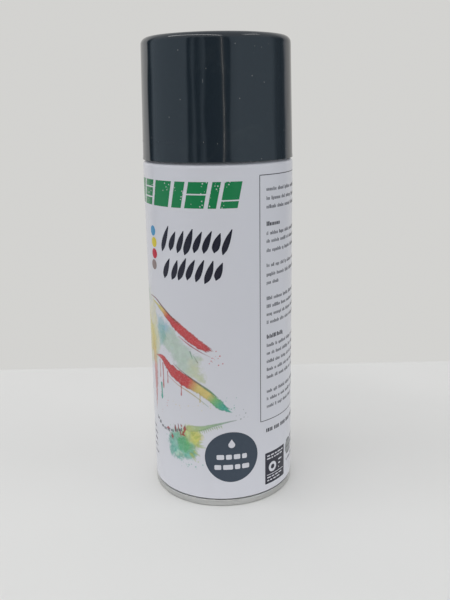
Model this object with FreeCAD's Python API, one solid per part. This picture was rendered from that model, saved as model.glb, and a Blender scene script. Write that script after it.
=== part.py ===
# Aerosol spray-paint can, 400 ml class: welded and printed tinplate body, domed base and
# shoulder ends double-seamed to it, one-inch valve, spray head, mixing balls and a full-width
# overcap.  Millimetres, +Z up, origin at the centre of the circle the base seam stands on.
# -Y is the front of the printed artwork and the way the nozzle points at rest.
import FreeCAD
import Part
import math
import os

V = FreeCAD.Vector

# ---------------------------------------------------------------- driving dimensions
body_r = 32.5            # outside radius of the printed body (65 mm can)
total_h = 201.07         # floor to the top of the overcap
cap_z = 151.7            # lower edge of the overcap
cap_wall = 1.1
cap_fillet_c = 2.25      # centreline radius of the cap's top edge (2.8 outside)
cap_r_low_c = 32.02      # wall centreline radius at the flared lower edge
cap_r_base_c = 31.86     # wall centreline radius where the draft starts
cap_r_top_c = 30.83      # wall centreline radius at the top corner
t_body = 0.20            # tinplate of the body
t_end = 0.28             # tinplate of the two ends
t_cup = 0.30             # tinplate of the valve cup
seam_gap = 0.01          # slack between the five layers of a double seam
base_seam_r = 32.40      # outside radius of the base double seam
base_seam_h = 3.00
top_seam_r = 31.15       # outside radius of the shoulder double seam (necked in)
top_seam_z = 155.39      # crown of the shoulder seam
neck_z = 150.3           # where the body starts to neck in under the cap
dome_apex_z = 11.6       # centreline height of the base dome
dome_edge_z = 5.0
aperture_r = 12.71       # one-inch valve aperture
curl_top_z = 166.4
cup_r = 16.0             # outside radius of the valve cup's rim (32 mm)
cup_top_z = 167.25       # centreline of the rim's top
cup_floor_z = 158.4
pedestal_top_z = 167.6
stem_r = 2.0
stem_top_z = 175.95
press_travel = 1.3       # stem and head travel, taken as clearance
head_z = 171.3           # underside of the spray head at rest
head_top_z = 185.6
nozzle_z = 180.3
ball_r = 4.0
ball_orbit_r = 28.0
ball_angles = (-55.0, 200.0)
tube_or = 2.5
tube_ir = 1.8
cap_ribs = 12

os.makedirs("parts", exist_ok=True)


# ---------------------------------------------------------------- helpers
def line(a, b):
    return Part.LineSegment(V(a[0], 0, a[1]), V(b[0], 0, b[1])).toShape()


def arc3(a, m, b):
    return Part.Arc(V(a[0], 0, a[1]), V(m[0], 0, m[1]), V(b[0], 0, b[1])).toShape()


def offset_run(pts, radii, h):
    """Edges of a polyline with tangent arcs, moved h to its left, and its two end points."""
    n = len(pts)
    d = []
    for i in range(n - 1):
        dx, dz = pts[i + 1][0] - pts[i][0], pts[i + 1][1] - pts[i][1]
        L = math.hypot(dx, dz)
        d.append((dx / L, dz / L))
    left = [(-b, a) for a, b in d]
    cur = (pts[0][0] + left[0][0] * h, pts[0][1] + left[0][1] * h)
    first = cur
    edges = []
    for i in range(1, n - 1):
        r = radii[i - 1]
        cr = d[i - 1][0] * d[i][1] - d[i - 1][1] * d[i][0]
        dot = d[i - 1][0] * d[i][0] + d[i - 1][1] * d[i][1]
        th = math.atan2(abs(cr), dot)
        s = 1.0 if cr > 0 else -1.0
        T = r * math.tan(th / 2)
        A = (pts[i][0] - d[i - 1][0] * T, pts[i][1] - d[i - 1][1] * T)
        B = (pts[i][0] + d[i][0] * T, pts[i][1] + d[i][1] * T)
        C = (A[0] + left[i - 1][0] * r * s, A[1] + left[i - 1][1] * r * s)
        rr = r - s * h
        a = (A[0] + left[i - 1][0] * h, A[1] + left[i - 1][1] * h)
        b = (B[0] + left[i][0] * h, B[1] + left[i][1] * h)
        k = math.hypot(pts[i][0] - C[0], pts[i][1] - C[1])
        m = (C[0] + (pts[i][0] - C[0]) / k * rr, C[1] + (pts[i][1] - C[1]) / k * rr)
        if math.hypot(a[0] - cur[0], a[1] - cur[1]) > 1e-5:
            edges.append(line(cur, a))
        edges.append(arc3(a, m, b))
        cur = b
    last = (pts[-1][0] + left[-1][0] * h, pts[-1][1] + left[-1][1] * h)
    if math.hypot(last[0] - cur[0], last[1] - cur[1]) > 1e-5:
        edges.append(line(cur, last))
    else:
        last = cur
    return edges, first, last


def sheet(pts, radii, t):
    """Sheet metal or moulded wall of thickness t turned about Z, following a centreline."""
    L, l0, l1 = offset_run(pts, radii, t / 2)
    R, r0, r1 = offset_run(pts, radii, -t / 2)
    wire = Part.Wire(Part.__sortEdges__(L + R + [line(l0, r0), line(l1, r1)]))
    return Part.Face(wire).revolve(V(0, 0, 0), V(0, 0, 1), 360)


def turned(pts):
    """Solid turned about Z from a closed outline of (radius, height) points."""
    w = Part.makePolygon([V(a, 0, b) for a, b in pts] + [V(pts[0][0], 0, pts[0][1])])
    return Part.Face(w).revolve(V(0, 0, 0), V(0, 0, 1), 360)


def ring(r0, r1, z0, z1):
    return turned([(r0, z0), (r1, z0), (r1, z1), (r0, z1)])


def rod(r, z0, z1, x=0.0, y=0.0):
    return Part.makeCylinder(r, z1 - z0, V(x, y, z0))


def save(shape, name):
    if len(shape.Solids) == 1:
        shape = shape.Solids[0]
    assert shape.isValid(), name
    shape.exportStep("parts/%s.step" % name)
    print("%-22s volume %9.2f mm3  solids %d  box %s" % (
        name, shape.Volume, len(shape.Solids),
        [round(v, 2) for v in (shape.BoundBox.XMin, shape.BoundBox.XMax, shape.BoundBox.YMin,
                               shape.BoundBox.YMax, shape.BoundBox.ZMin, shape.BoundBox.ZMax)]))


# ---------------------------------------------------------------- double seams, layer centrelines
def seam_layers(r_out):
    """Centreline radii from outside in: end skirt, body hook, end hook, body wall, chuck wall."""
    e, b, g = t_end, t_body, seam_gap
    skirt = r_out - e / 2
    bhook = r_out - e - g - b / 2
    ehook = r_out - e - g - b - g - e / 2
    wall = r_out - 2 * e - b - 3 * g - b / 2
    chuck = r_out - 2 * e - 2 * b - 4 * g - e / 2
    return skirt, bhook, ehook, wall, chuck


b_skirt, b_bhook, b_ehook, b_wall, b_chuck = seam_layers(base_seam_r)
s_skirt, s_bhook, s_ehook, s_wall, s_chuck = seam_layers(top_seam_r)
body_c = body_r - t_body / 2

# ---------------------------------------------------------------- can body
crown_c = top_seam_z - t_end / 2
hook_top = crown_c - t_end / 2 - 0.33
can_body = sheet(
    [(b_bhook, 2.35), (b_bhook, 0.58), (b_wall, 0.58), (b_wall, 3.05), (body_c, 3.9),
     (body_c, neck_z), (s_wall, neck_z + 1.7), (s_wall, hook_top), (s_bhook, hook_top),
     (s_bhook, hook_top - 1.78)],
    [0.2, 0.2, 0.5, 0.8, 1.2, 0.6, 0.2, 0.2], t_body)
# welded side seam: a flat lap bead up the back of the straight wall
weld = Part.makeCylinder(body_r + 0.03, 143.0, V(0, 0, 5.2), V(0, 0, 1), 1.9)
weld = weld.cut(Part.makeCylinder(body_r - 0.1, 143.0, V(0, 0, 5.2)))
weld.rotate(V(0, 0, 0), V(0, 0, 1), 90 - 0.95)
can_body = can_body.fuse(weld)
save(can_body, "can_body")

# ---------------------------------------------------------------- base end
bottom_end = sheet(
    [(b_ehook, 0.95), (b_ehook, base_seam_h - t_end / 2), (b_skirt, base_seam_h - t_end / 2),
     (b_skirt, t_end / 2), (b_chuck, t_end / 2), (b_chuck, dome_edge_z), (16.07, dome_apex_z),
     (0.0, dome_apex_z)],
    [0.2, 0.2, 0.4, 0.4, 0.8,
     16.07 / math.tan(math.atan2(dome_apex_z - dome_edge_z, b_chuck - 16.07) / 2)], t_end)
save(bottom_end, "bottom_end")
save(ring(31.60, 31.92, 0.30, 0.46), "bottom_seam_compound")

# ---------------------------------------------------------------- shoulder end
low = 152.45
top_cone = sheet(
    [(s_ehook, 154.4), (s_ehook, low), (s_skirt, low), (s_skirt, crown_c), (s_chuck, crown_c),
     (s_chuck, 151.2), (28.6, 151.2), (27.2, 154.4), (21.5, 159.6), (12.85, 162.9),
     (12.85, curl_top_z), (15.45, curl_top_z), (15.45, 164.3), (14.2, 164.3)],
    [0.2, 0.2, 0.4, 0.4, 0.6, 0.6, 6.0, 14.0, 1.2, 1.15, 1.15, 0.9], t_end)
save(top_cone, "top_cone")
save(ring(30.35, 30.67, hook_top + 0.15, crown_c - 0.16), "top_seam_compound")

# ---------------------------------------------------------------- valve cup and gaskets
cup_c = cup_r - t_cup / 2
valve_cup = sheet(
    [(cup_c, 164.35), (cup_c, cup_top_z), (12.4, cup_top_z), (12.4, 162.6), (12.95, 161.7),
     (12.4, 160.6), (12.4, cup_floor_z), (5.95, cup_floor_z), (5.95, 163.4), (5.65, 163.8),
     (5.65, 164.6), (5.95, 165.0), (5.95, pedestal_top_z), (2.6, pedestal_top_z)],
    [0.9, 0.9, 0.5, 0.5, 0.5, 0.9, 0.8, 0.4, 0.4, 0.4, 0.4, 0.8], t_cup)
save(valve_cup, "valve_cup")
save(ring(13.35, 14.9, 166.56, 167.08), "cup_gasket")
save(ring(stem_r + 0.03, 5.1, 166.44, 167.43), "stem_gasket")

# ---------------------------------------------------------------- valve housing
housing = turned([(1.0, 138.0), (1.55, 138.0), (1.75, 139.0), (1.75, 149.5), (4.4, 149.5),
                  (4.4, 158.2), (5.7, 159.4), (5.7, 163.1), (5.4, 163.3), (5.4, 165.1),
                  (5.7, 165.3), (5.7, 166.0), (5.3, 166.42), (3.4, 166.42), (3.2, 166.0),
                  (3.2, 151.2), (1.0, 151.2)])
# four liquid slots in the housing wall's inner face
for k in range(4):
    a = math.radians(45 + 90 * k)
    slot = Part.makeBox(1.0, 0.8, 13.0, V(2.9, -0.4, 152.2))
    slot.rotate(V(0, 0, 0), V(0, 0, 1), math.degrees(a))
    housing = housing.cut(slot)
save(housing, "valve_housing")

# ---------------------------------------------------------------- valve spring
# round wire drawn as a twelve-sided section of the same area, so its faces stay well shaped
spring_z0, spring_z1 = 151.25, 163.55
spring_r = 2.3
wire_r = 0.25
turns = 7.0
sides = 12
rise = spring_z1 - spring_z0 - 2 * wire_r
helix = Part.makeHelix(rise / turns, rise, spring_r)
helix.translate(V(0, 0, spring_z0 + wire_r))
slope = math.atan(rise / turns / (2 * math.pi * spring_r))
rho = wire_r * math.sqrt(2 * math.pi / (sides * math.sin(2 * math.pi / sides)))
corner = [V(spring_r + rho * math.cos(2 * math.pi * (k + 0.5) / sides),
            -rho * math.sin(2 * math.pi * (k + 0.5) / sides) * math.sin(slope),
            spring_z0 + wire_r + rho * math.sin(2 * math.pi * (k + 0.5) / sides) * math.cos(slope))
          for k in range(sides)]
spring = Part.Wire(helix).makePipeShell([Part.makePolygon(corner + [corner[0]])], True, True)
save(spring, "valve_spring")

# ---------------------------------------------------------------- valve stem
stem = turned([(0, 161.0), (1.2, 161.0), (1.4, 161.2), (1.4, 163.6), (2.85, 163.6),
               (2.9, 163.7), (2.9, 165.9), (2.6, 166.40), (stem_r, 166.40),
               (stem_r, stem_top_z - 0.3), (stem_r - 0.3, stem_top_z), (0, stem_top_z)])
stem = stem.cut(rod(0.9, 166.6, stem_top_z + 1))
stem = stem.cut(Part.makeCylinder(0.32, 6.0, V(-3.0, 0, 166.95), V(1, 0, 0)))
save(stem, "valve_stem")

# ---------------------------------------------------------------- dip tube
dx, dz = 21.5, 10.2
p0, p1, p2 = (0.0, 146.9), (0.0, 100.0), (dx, dz)
turn = math.atan2(dx, 100.0 - dz)
R_bend = 280.0
T = R_bend * math.tan(turn / 2)
ux, uz = math.sin(turn), -math.cos(turn)
A = V(0, 0, 100.0 + T)
B = V(0, ux * T, 100.0 + uz * T)
Mid = V(0, R_bend - R_bend * math.cos(turn / 2), 100.0 + T - R_bend * math.sin(turn / 2))
path = Part.Wire([Part.LineSegment(V(0, 0, p0[1]), A).toShape(), Part.Arc(A, Mid, B).toShape(),
                  Part.LineSegment(B, V(0, dx, dz)).toShape()])


def pipe(r):
    return path.makePipeShell([Part.Wire(Part.makeCircle(r, V(0, 0, p0[1]), V(0, 0, -1)))], True, False)


tube = pipe(tube_or).cut(pipe(tube_ir))
save(tube, "dip_tube")
length = (p0[1] - 100.0 - T) + R_bend * turn + (math.hypot(dx, 100.0 - dz) - T)
print("dip tube length %.2f, section x length %.2f" % (
    length, math.pi * (tube_or ** 2 - tube_ir ** 2) * length))

# ---------------------------------------------------------------- spray head
head = turned([(0, head_z + 3.2), (3.6, head_z + 3.2), (3.6, head_z + 0.4), (3.4, head_z),
               (6.3, head_z), (7.2, head_z), (7.4, head_z + 0.25), (7.4, head_z + 1.9),
               (7.2, head_z + 2.3), (6.6, head_z + 2.7), (6.45, head_z + 3.2),
               (6.15, head_top_z - 1.3), (6.0, head_top_z - 0.75), (5.6, head_top_z - 0.25),
               (5.0, head_top_z), (0, head_top_z)])
head = head.cut(ring(3.6, 6.3, head_z - 1, head_z + 3.2).fuse(rod(3.7, head_z - 1, head_z)))
head = head.fuse(ring(stem_r + 0.03, 3.6, head_z + 0.3, head_z + 3.4))
head = head.cut(rod(stem_r + 0.03, head_z - 1, stem_top_z + 0.05))
dish = Part.makeSphere(13.0, V(0, -0.6, head_top_z + 11.9))
head = head.cut(dish)
# flat face round the nozzle, its pocket, and the passage up from the stem
head = head.cut(Part.makeBox(14, 3, 8.4, V(-7, -8.75, nozzle_z - 4.1)))
head = head.cut(Part.makeCylinder(2.6, 4.0, V(0, -2.0, nozzle_z), V(0, -1, 0)))
head = head.cut(rod(0.75, stem_top_z, nozzle_z + 0.4))
head = head.cut(Part.makeCylinder(0.75, 3.0, V(0, 0.4, nozzle_z), V(0, -1, 0)))
save(head, "spray_head")

insert = Part.makeCylinder(2.55, 3.7, V(0, -2.05, nozzle_z), V(0, -1, 0))
insert = insert.cut(Part.makeCylinder(0.22, 6.0, V(0, -1, nozzle_z), V(0, -1, 0)))
insert = insert.cut(Part.makeCylinder(0.9, 1.9, V(0, -1.5, nozzle_z), V(0, -1, 0)))
insert = insert.cut(Part.makeCone(0.25, 1.5, 1.0, V(0, -4.76, nozzle_z), V(0, -1, 0)))
save(insert, "nozzle_insert")

# ---------------------------------------------------------------- mixing balls
dome_r = 16.07 / math.tan(math.atan2(dome_apex_z - dome_edge_z, b_chuck - 16.07) / 2)
reach = dome_r + t_end / 2 + ball_r + 0.03
ball_z = dome_apex_z - dome_r + math.sqrt(reach ** 2 - ball_orbit_r ** 2)
print("ball centre height %.3f" % ball_z)
for k, a in enumerate(ball_angles):
    a = math.radians(a)
    save(Part.makeSphere(ball_r, V(ball_orbit_r * math.cos(a), ball_orbit_r * math.sin(a), ball_z)),
         "mixing_ball_%d" % (k + 1))

# ---------------------------------------------------------------- overcap
cap_top_c = total_h - cap_wall / 2
cap = sheet([(cap_r_low_c, cap_z), (cap_r_base_c, cap_z + 1.8), (cap_r_top_c, cap_top_c),
             (0.0, cap_top_c)], [6.0, cap_fillet_c], cap_wall)
bead = turned([(31.6, cap_z + 0.15), (31.30, cap_z + 0.35), (31.22, cap_z + 0.5), (31.30, cap_z + 0.65),
               (31.6, cap_z + 0.8)])
cap = cap.fuse(bead)
for k in range(cap_ribs):
    f = Part.Face(Part.makePolygon([V(29.3, -0.45, 155.45), V(31.5, -0.45, 155.45),
                                    V(31.1, -0.45, 174.0), V(30.5, -0.45, 174.0),
                                    V(29.3, -0.45, 170.5), V(29.3, -0.45, 155.45)]))
    rib = f.extrude(V(0, 0.9, 0))
    rib.rotate(V(0, 0, 0), V(0, 0, 1), 15 + 360.0 / cap_ribs * k)
    cap = cap.fuse(rib)
cap = cap.cut(rod(2.6, total_h - 0.2, total_h + 1)).fuse(rod(0.55, total_h - 0.3, total_h - 0.06))
save(cap, "overcap")
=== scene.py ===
import math

import bmesh
import bpy
import numpy as np
from mathutils import Matrix, Vector, geometry


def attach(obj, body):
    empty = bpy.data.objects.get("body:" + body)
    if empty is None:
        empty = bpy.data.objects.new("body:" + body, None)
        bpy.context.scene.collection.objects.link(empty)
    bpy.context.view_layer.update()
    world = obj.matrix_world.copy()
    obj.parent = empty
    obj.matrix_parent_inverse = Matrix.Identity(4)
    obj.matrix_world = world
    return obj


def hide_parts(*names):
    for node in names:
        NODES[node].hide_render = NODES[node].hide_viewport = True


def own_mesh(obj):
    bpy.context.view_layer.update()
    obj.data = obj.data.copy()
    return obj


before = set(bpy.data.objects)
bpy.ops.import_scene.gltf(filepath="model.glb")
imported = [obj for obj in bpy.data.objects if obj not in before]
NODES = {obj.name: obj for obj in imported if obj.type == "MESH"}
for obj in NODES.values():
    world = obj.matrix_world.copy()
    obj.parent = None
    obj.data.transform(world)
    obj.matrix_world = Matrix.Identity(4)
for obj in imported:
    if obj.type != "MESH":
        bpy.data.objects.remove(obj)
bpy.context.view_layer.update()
scene = bpy.context.scene
MM = 0.001

# ------------------------------------------------------------------ dimensions shared with the frame
R = 32.5                  # printed surface
K = R * math.pi / 180.0   # millimetres along the print per degree
FACING = 40.0             # the angle of the print that faces the camera
T_BODY, T_END, T_CUP, T_CAP = 0.20, 0.28, 0.30, 1.1
G_SEAM = 0.01


def seam_layers(r_out):
    e, b, g = T_END, T_BODY, G_SEAM
    return (r_out - e / 2, r_out - e - g - b / 2, r_out - e - g - b - g - e / 2,
            r_out - 2 * e - b - 3 * g - b / 2, r_out - 2 * e - 2 * b - 4 * g - e / 2)


B_SKIRT, B_BHOOK, B_EHOOK, B_WALL, B_CHUCK = seam_layers(32.40)
S_SKIRT, S_BHOOK, S_EHOOK, S_WALL, S_CHUCK = seam_layers(31.15)


# ------------------------------------------------------------------ mesh helpers
def offset_line(pts, radii, h, arc_deg=7.0, reach=4.0):
    """Points of a centreline with tangent arcs, moved h to its left, close enough together to turn
    smoothly and with a support point beside each arc."""
    n = len(pts)
    d = []
    for i in range(n - 1):
        dx, dz = pts[i + 1][0] - pts[i][0], pts[i + 1][1] - pts[i][1]
        length = math.hypot(dx, dz)
        d.append((dx / length, dz / length))
    left = [(-b, a) for a, b in d]
    runs = []
    cur = (pts[0][0] + left[0][0] * h, pts[0][1] + left[0][1] * h)
    for i in range(1, n - 1):
        r = radii[i - 1]
        cr = d[i - 1][0] * d[i][1] - d[i - 1][1] * d[i][0]
        dot = d[i - 1][0] * d[i][0] + d[i - 1][1] * d[i][1]
        th = math.atan2(abs(cr), dot)
        s = 1.0 if cr > 0 else -1.0
        t = r * math.tan(th / 2)
        a = (pts[i][0] - d[i - 1][0] * t, pts[i][1] - d[i - 1][1] * t)
        c = (a[0] + left[i - 1][0] * r * s, a[1] + left[i - 1][1] * r * s)
        rr = r - s * h
        first = (a[0] + left[i - 1][0] * h, a[1] + left[i - 1][1] * h)
        runs.append(("line", cur, first))
        u = (a[0] - c[0], a[1] - c[1])
        k = max(2, int(math.ceil(math.degrees(th) / arc_deg)))
        k = max(k, int(math.ceil(rr * th / 1.6)))
        arc = []
        for j in range(k + 1):
            g = s * th * j / k
            arc.append((c[0] + (u[0] * math.cos(g) - u[1] * math.sin(g)) * rr / r,
                        c[1] + (u[0] * math.sin(g) + u[1] * math.cos(g)) * rr / r))
        runs.append(("arc", arc))
        cur = arc[-1]
    last = (pts[-1][0] + left[-1][0] * h, pts[-1][1] + left[-1][1] * h)
    runs.append(("line", cur, last))
    out = []

    def add(p):
        if not out or math.hypot(p[0] - out[-1][0], p[1] - out[-1][1]) > 1e-4:
            out.append(p)

    for run in runs:
        if run[0] == "arc":
            for p in run[1]:
                add(p)
            continue
        a, b = run[1], run[2]
        length = math.hypot(b[0] - a[0], b[1] - a[1])
        ts = [0.0, 1.0]
        if length > 0.5:
            e = min(0.12 / length, 0.2)
            ts += [e, 1 - e]
            k = int(length // reach)
            ts += [(j + 1) / (k + 1) for j in range(k)]
        for t in sorted(ts):
            add((a[0] + (b[0] - a[0]) * t, a[1] + (b[1] - a[1]) * t))
    return out


def sheet_outline(pts, radii, t, edge=0.0):
    """Closed outline of sheet of thickness t along a centreline; an end on the axis is a pole."""
    a = offset_line(pts, radii, t / 2)
    b = offset_line(pts, radii, -t / 2)
    return a + b[::-1]


def rounded(pts, radii, arc_deg=12.0, reach=4.0):
    """Closed outline of a polygon of (r, z) points, each corner turned with its own radius."""
    n = len(pts)
    out = []
    for i in range(n):
        p, c, q = pts[i - 1], pts[i], pts[(i + 1) % n]
        r = radii[i] if isinstance(radii, (list, tuple)) else radii
        v1 = (p[0] - c[0], p[1] - c[1])
        v2 = (q[0] - c[0], q[1] - c[1])
        l1, l2 = math.hypot(*v1), math.hypot(*v2)
        v1, v2 = (v1[0] / l1, v1[1] / l1), (v2[0] / l2, v2[1] / l2)
        if r <= 0 or c[0] < 1e-6:
            out.append(c)
            continue
        ang = math.acos(max(-1, min(1, v1[0] * v2[0] + v1[1] * v2[1])))
        t = min(r / math.tan(ang / 2), 0.45 * l1, 0.45 * l2)
        r = t * math.tan(ang / 2)
        b = ((v1[0] + v2[0]), (v1[1] + v2[1]))
        bl = math.hypot(*b)
        if bl < 1e-6:
            out.append(c)
            continue
        cc = (c[0] + b[0] / bl * r / math.sin(ang / 2), c[1] + b[1] / bl * r / math.sin(ang / 2))
        a0 = math.atan2(c[1] + v1[1] * t - cc[1], c[0] + v1[0] * t - cc[0])
        a1 = math.atan2(c[1] + v2[1] * t - cc[1], c[0] + v2[0] * t - cc[0])
        da = (a1 - a0 + math.pi) % (2 * math.pi) - math.pi
        k = max(2, int(math.ceil(abs(math.degrees(da)) / arc_deg)))
        for j in range(k + 1):
            g = a0 + da * j / k
            out.append((cc[0] + r * math.cos(g), cc[1] + r * math.sin(g)))
    dense = []
    for i, p in enumerate(out):
        q = out[(i + 1) % len(out)]
        dense.append(p)
        length = math.hypot(q[0] - p[0], q[1] - p[1])
        if length > 0.6:
            e = min(0.1 / length, 0.2)
            ts = [e, 1 - e] + [(j + 1) / (int(length // reach) + 1) for j in range(int(length // reach))]
            for t in sorted(ts):
                dense.append((p[0] + (q[0] - p[0]) * t, p[1] + (q[1] - p[1]) * t))
    return dense


def make_object(name, verts, faces, mat=None, smooth=True, sharp=32.0):
    me = bpy.data.meshes.new(name)
    me.from_pydata([tuple(v) for v in verts], [], [tuple(f) for f in faces])
    me.validate()
    bm = bmesh.new()
    bm.from_mesh(me)
    bmesh.ops.remove_doubles(bm, verts=bm.verts, dist=1e-8)
    bmesh.ops.recalc_face_normals(bm, faces=bm.faces)
    bm.to_mesh(me)
    bm.free()
    if smooth:
        me.shade_smooth()
        me.set_sharp_from_angle(angle=math.radians(sharp))
    o = bpy.data.objects.new(name, me)
    scene.collection.objects.link(o)
    if mat is not None:
        me.materials.append(mat)
    return o


def lathe(name, outline, seg=384, mat=None, sharp=32.0):
    """Closed solid turned about Z from a closed outline of (r, z) points in millimetres."""
    verts, rows = [], []
    cs = [(math.cos(2 * math.pi * j / seg), math.sin(2 * math.pi * j / seg)) for j in range(seg)]
    for r, z in outline:
        if r < 1e-5:
            rows.append([len(verts)])
            verts.append((0, 0, z * MM))
        else:
            rows.append(list(range(len(verts), len(verts) + seg)))
            verts.extend((r * c * MM, r * s * MM, z * MM) for c, s in cs)
    faces = []
    n = len(outline)
    for i in range(n):
        a, b = rows[i], rows[(i + 1) % n]
        if len(a) == 1 and len(b) == 1:
            continue
        for j in range(seg):
            k = (j + 1) % seg
            if len(a) == 1:
                faces.append((a[0], b[k], b[j]))
            elif len(b) == 1:
                faces.append((a[j], a[k], b[0]))
            else:
                faces.append((a[j], a[k], b[k], b[j]))
    return make_object(name, verts, faces, mat, sharp=sharp)


def boolean(target, cutter, op):
    m = target.modifiers.new("b", "BOOLEAN")
    m.operation = op
    m.solver = "EXACT"
    m.object = cutter
    apply_all(target)
    bpy.data.objects.remove(cutter)


def apply_all(o):
    dg = bpy.context.evaluated_depsgraph_get()
    bpy.context.view_layer.update()
    me = bpy.data.meshes.new_from_object(o.evaluated_get(dg))
    old = o.data
    o.modifiers.clear()
    o.data = me
    me.name = o.name
    bpy.data.meshes.remove(old)


# ------------------------------------------------------------------ materials
def new_mat(name):
    m = bpy.data.materials.new(name)
    m.use_nodes = True
    nt = m.node_tree
    nt.nodes.clear()
    out = nt.nodes.new("ShaderNodeOutputMaterial")
    b = nt.nodes.new("ShaderNodeBsdfPrincipled")
    nt.links.new(b.outputs[0], out.inputs[0])
    return m, nt, b


def link(nt, a, b):
    nt.links.new(a, b)


def node(nt, kind, **kw):
    n = nt.nodes.new(kind)
    for k, v in kw.items():
        setattr(n, k, v)
    return n


def math_node(nt, op, a, b=None, c=None, clamp=False):
    n = node(nt, "ShaderNodeMath", operation=op, use_clamp=clamp)
    for i, v in enumerate((a, b, c)):
        if v is None:
            continue
        if isinstance(v, (int, float)):
            n.inputs[i].default_value = v
        else:
            link(nt, v, n.inputs[i])
    return n.outputs[0]


def mix_rgb(nt, fac, a, b, mode="MIX"):
    n = node(nt, "ShaderNodeMix", data_type="RGBA", blend_type=mode)
    for sock, v in ((n.inputs[0], fac), (n.inputs[6], a), (n.inputs[7], b)):
        if isinstance(v, (int, float)):
            sock.default_value = v
        elif isinstance(v, (tuple, list)):
            sock.default_value = (*v, 1.0) if len(v) == 3 else v
        else:
            link(nt, v, sock)
    return n.outputs[2]


def mix_val(nt, fac, a, b):
    n = node(nt, "ShaderNodeMix", data_type="FLOAT")
    for sock, v in ((n.inputs[0], fac), (n.inputs[2], a), (n.inputs[3], b)):
        if isinstance(v, (int, float)):
            sock.default_value = v
        else:
            link(nt, v, sock)
    return n.outputs[0]


def ramp_val(nt, fac, stops):
    n = node(nt, "ShaderNodeValToRGB")
    cr = n.color_ramp
    while len(cr.elements) > 1:
        cr.elements.remove(cr.elements[-1])
    cr.elements[0].position = stops[0][0]
    cr.elements[0].color = (*([stops[0][1]] * 3), 1) if not isinstance(stops[0][1], tuple) else (*stops[0][1], 1)
    for p, v in stops[1:]:
        e = cr.elements.new(p)
        e.color = (*([v] * 3), 1) if not isinstance(v, tuple) else (*v, 1)
    link(nt, fac, n.inputs[0])
    return n.outputs[0]


def obj_coords(nt):
    return node(nt, "ShaderNodeTexCoord").outputs["Object"]


def cylinder_coords(nt, around=1.0, out=1.0, up=1.0):
    """Vector (angle x around, radius x out, height x up) from the object's own coordinates."""
    sep = node(nt, "ShaderNodeSeparateXYZ")
    link(nt, obj_coords(nt), sep.inputs[0])
    x, y, z = sep.outputs
    rad = math_node(nt, "SQRT", math_node(nt, "ADD", math_node(nt, "MULTIPLY", x, x),
                                          math_node(nt, "MULTIPLY", y, y)))
    ang = math_node(nt, "ARCTAN2", y, x)
    comb = node(nt, "ShaderNodeCombineXYZ")
    link(nt, math_node(nt, "MULTIPLY", ang, around), comb.inputs[0])
    link(nt, math_node(nt, "MULTIPLY", rad, out), comb.inputs[1])
    link(nt, math_node(nt, "MULTIPLY", z, up), comb.inputs[2])
    return comb.outputs[0], rad, ang, z


def noise(nt, vec, scale, detail=3.0, rough=0.55, distortion=0.0):
    n = node(nt, "ShaderNodeTexNoise")
    n.inputs["Scale"].default_value = scale
    n.inputs["Detail"].default_value = detail
    n.inputs["Roughness"].default_value = rough
    n.inputs["Distortion"].default_value = distortion
    link(nt, vec, n.inputs["Vector"])
    return n.outputs[0]


def bump(nt, height, strength, distance=0.0001, normal=None):
    n = node(nt, "ShaderNodeBump")
    n.inputs["Strength"].default_value = strength
    n.inputs["Distance"].default_value = distance
    link(nt, height, n.inputs["Height"])
    if normal is not None:
        link(nt, normal, n.inputs["Normal"])
    return n.outputs[0]


PAPER = (0.686, 0.682, 0.728)
PRINT_GLOSS = 0.24


def mat_print():
    m, nt, b = new_mat("printed_tinplate_look")
    vec, rad, ang, z = cylinder_coords(nt, 6.0, 1500.0, 1500.0)
    oc = obj_coords(nt)
    white = mix_rgb(nt, math_node(nt, "MULTIPLY", noise(nt, oc, 55.0, 2.0), 0.10), PAPER, (0.614, 0.616, 0.658))
    tin = mix_rgb(nt, noise(nt, vec, 1.0, 3.0), (0.42, 0.42, 0.41), (0.66, 0.66, 0.65))
    lacquer = mix_rgb(nt, noise(nt, oc, 90.0, 3.0), (0.55, 0.44, 0.22), (0.66, 0.55, 0.30))
    # print covers the outside down to the neck; the inside is lacquered, the hidden edges bare
    edge = math_node(nt, "ADD", z, math_node(nt, "MULTIPLY", noise(nt, oc, 900.0, 2.0), 0.00012))
    low = math_node(nt, "GREATER_THAN", edge, 0.00345)
    high = math_node(nt, "LESS_THAN", edge, 0.1532)
    outer = math_node(nt, "GREATER_THAN", rad, 0.03238)
    neck = math_node(nt, "MAXIMUM", math_node(nt, "LESS_THAN", edge, 0.0042), math_node(nt, "GREATER_THAN", edge, 0.1500))
    skin = math_node(nt, "MULTIPLY", math_node(nt, "MULTIPLY", low, high),
                     math_node(nt, "MAXIMUM", outer, neck))
    inner = math_node(nt, "MULTIPLY", math_node(nt, "LESS_THAN", rad, 0.03235),
                      math_node(nt, "MULTIPLY", math_node(nt, "GREATER_THAN", z, 0.0042), math_node(nt, "LESS_THAN", z, 0.1500)))
    c = mix_rgb(nt, inner, tin, lacquer)
    c = mix_rgb(nt, skin, c, white)
    link(nt, c, b.inputs["Base Color"])
    link(nt, math_node(nt, "SUBTRACT", 1.0, skin), b.inputs["Metallic"])
    rough = mix_val(nt, noise(nt, oc, 240.0, 3.0), 0.20, 0.30)
    link(nt, mix_val(nt, skin, 0.34, rough), b.inputs["Roughness"])
    fine = noise(nt, oc, 2600.0, 2.0)
    ding = noise(nt, oc, 26.0, 2.0)
    n1 = bump(nt, ding, 0.25, 0.0004)
    link(nt, bump(nt, fine, 0.10, 0.00002, n1), b.inputs["Normal"])
    link(nt, mix_val(nt, skin, 0.5, PRINT_GLOSS), b.inputs["Specular IOR Level"])
    return m


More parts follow.
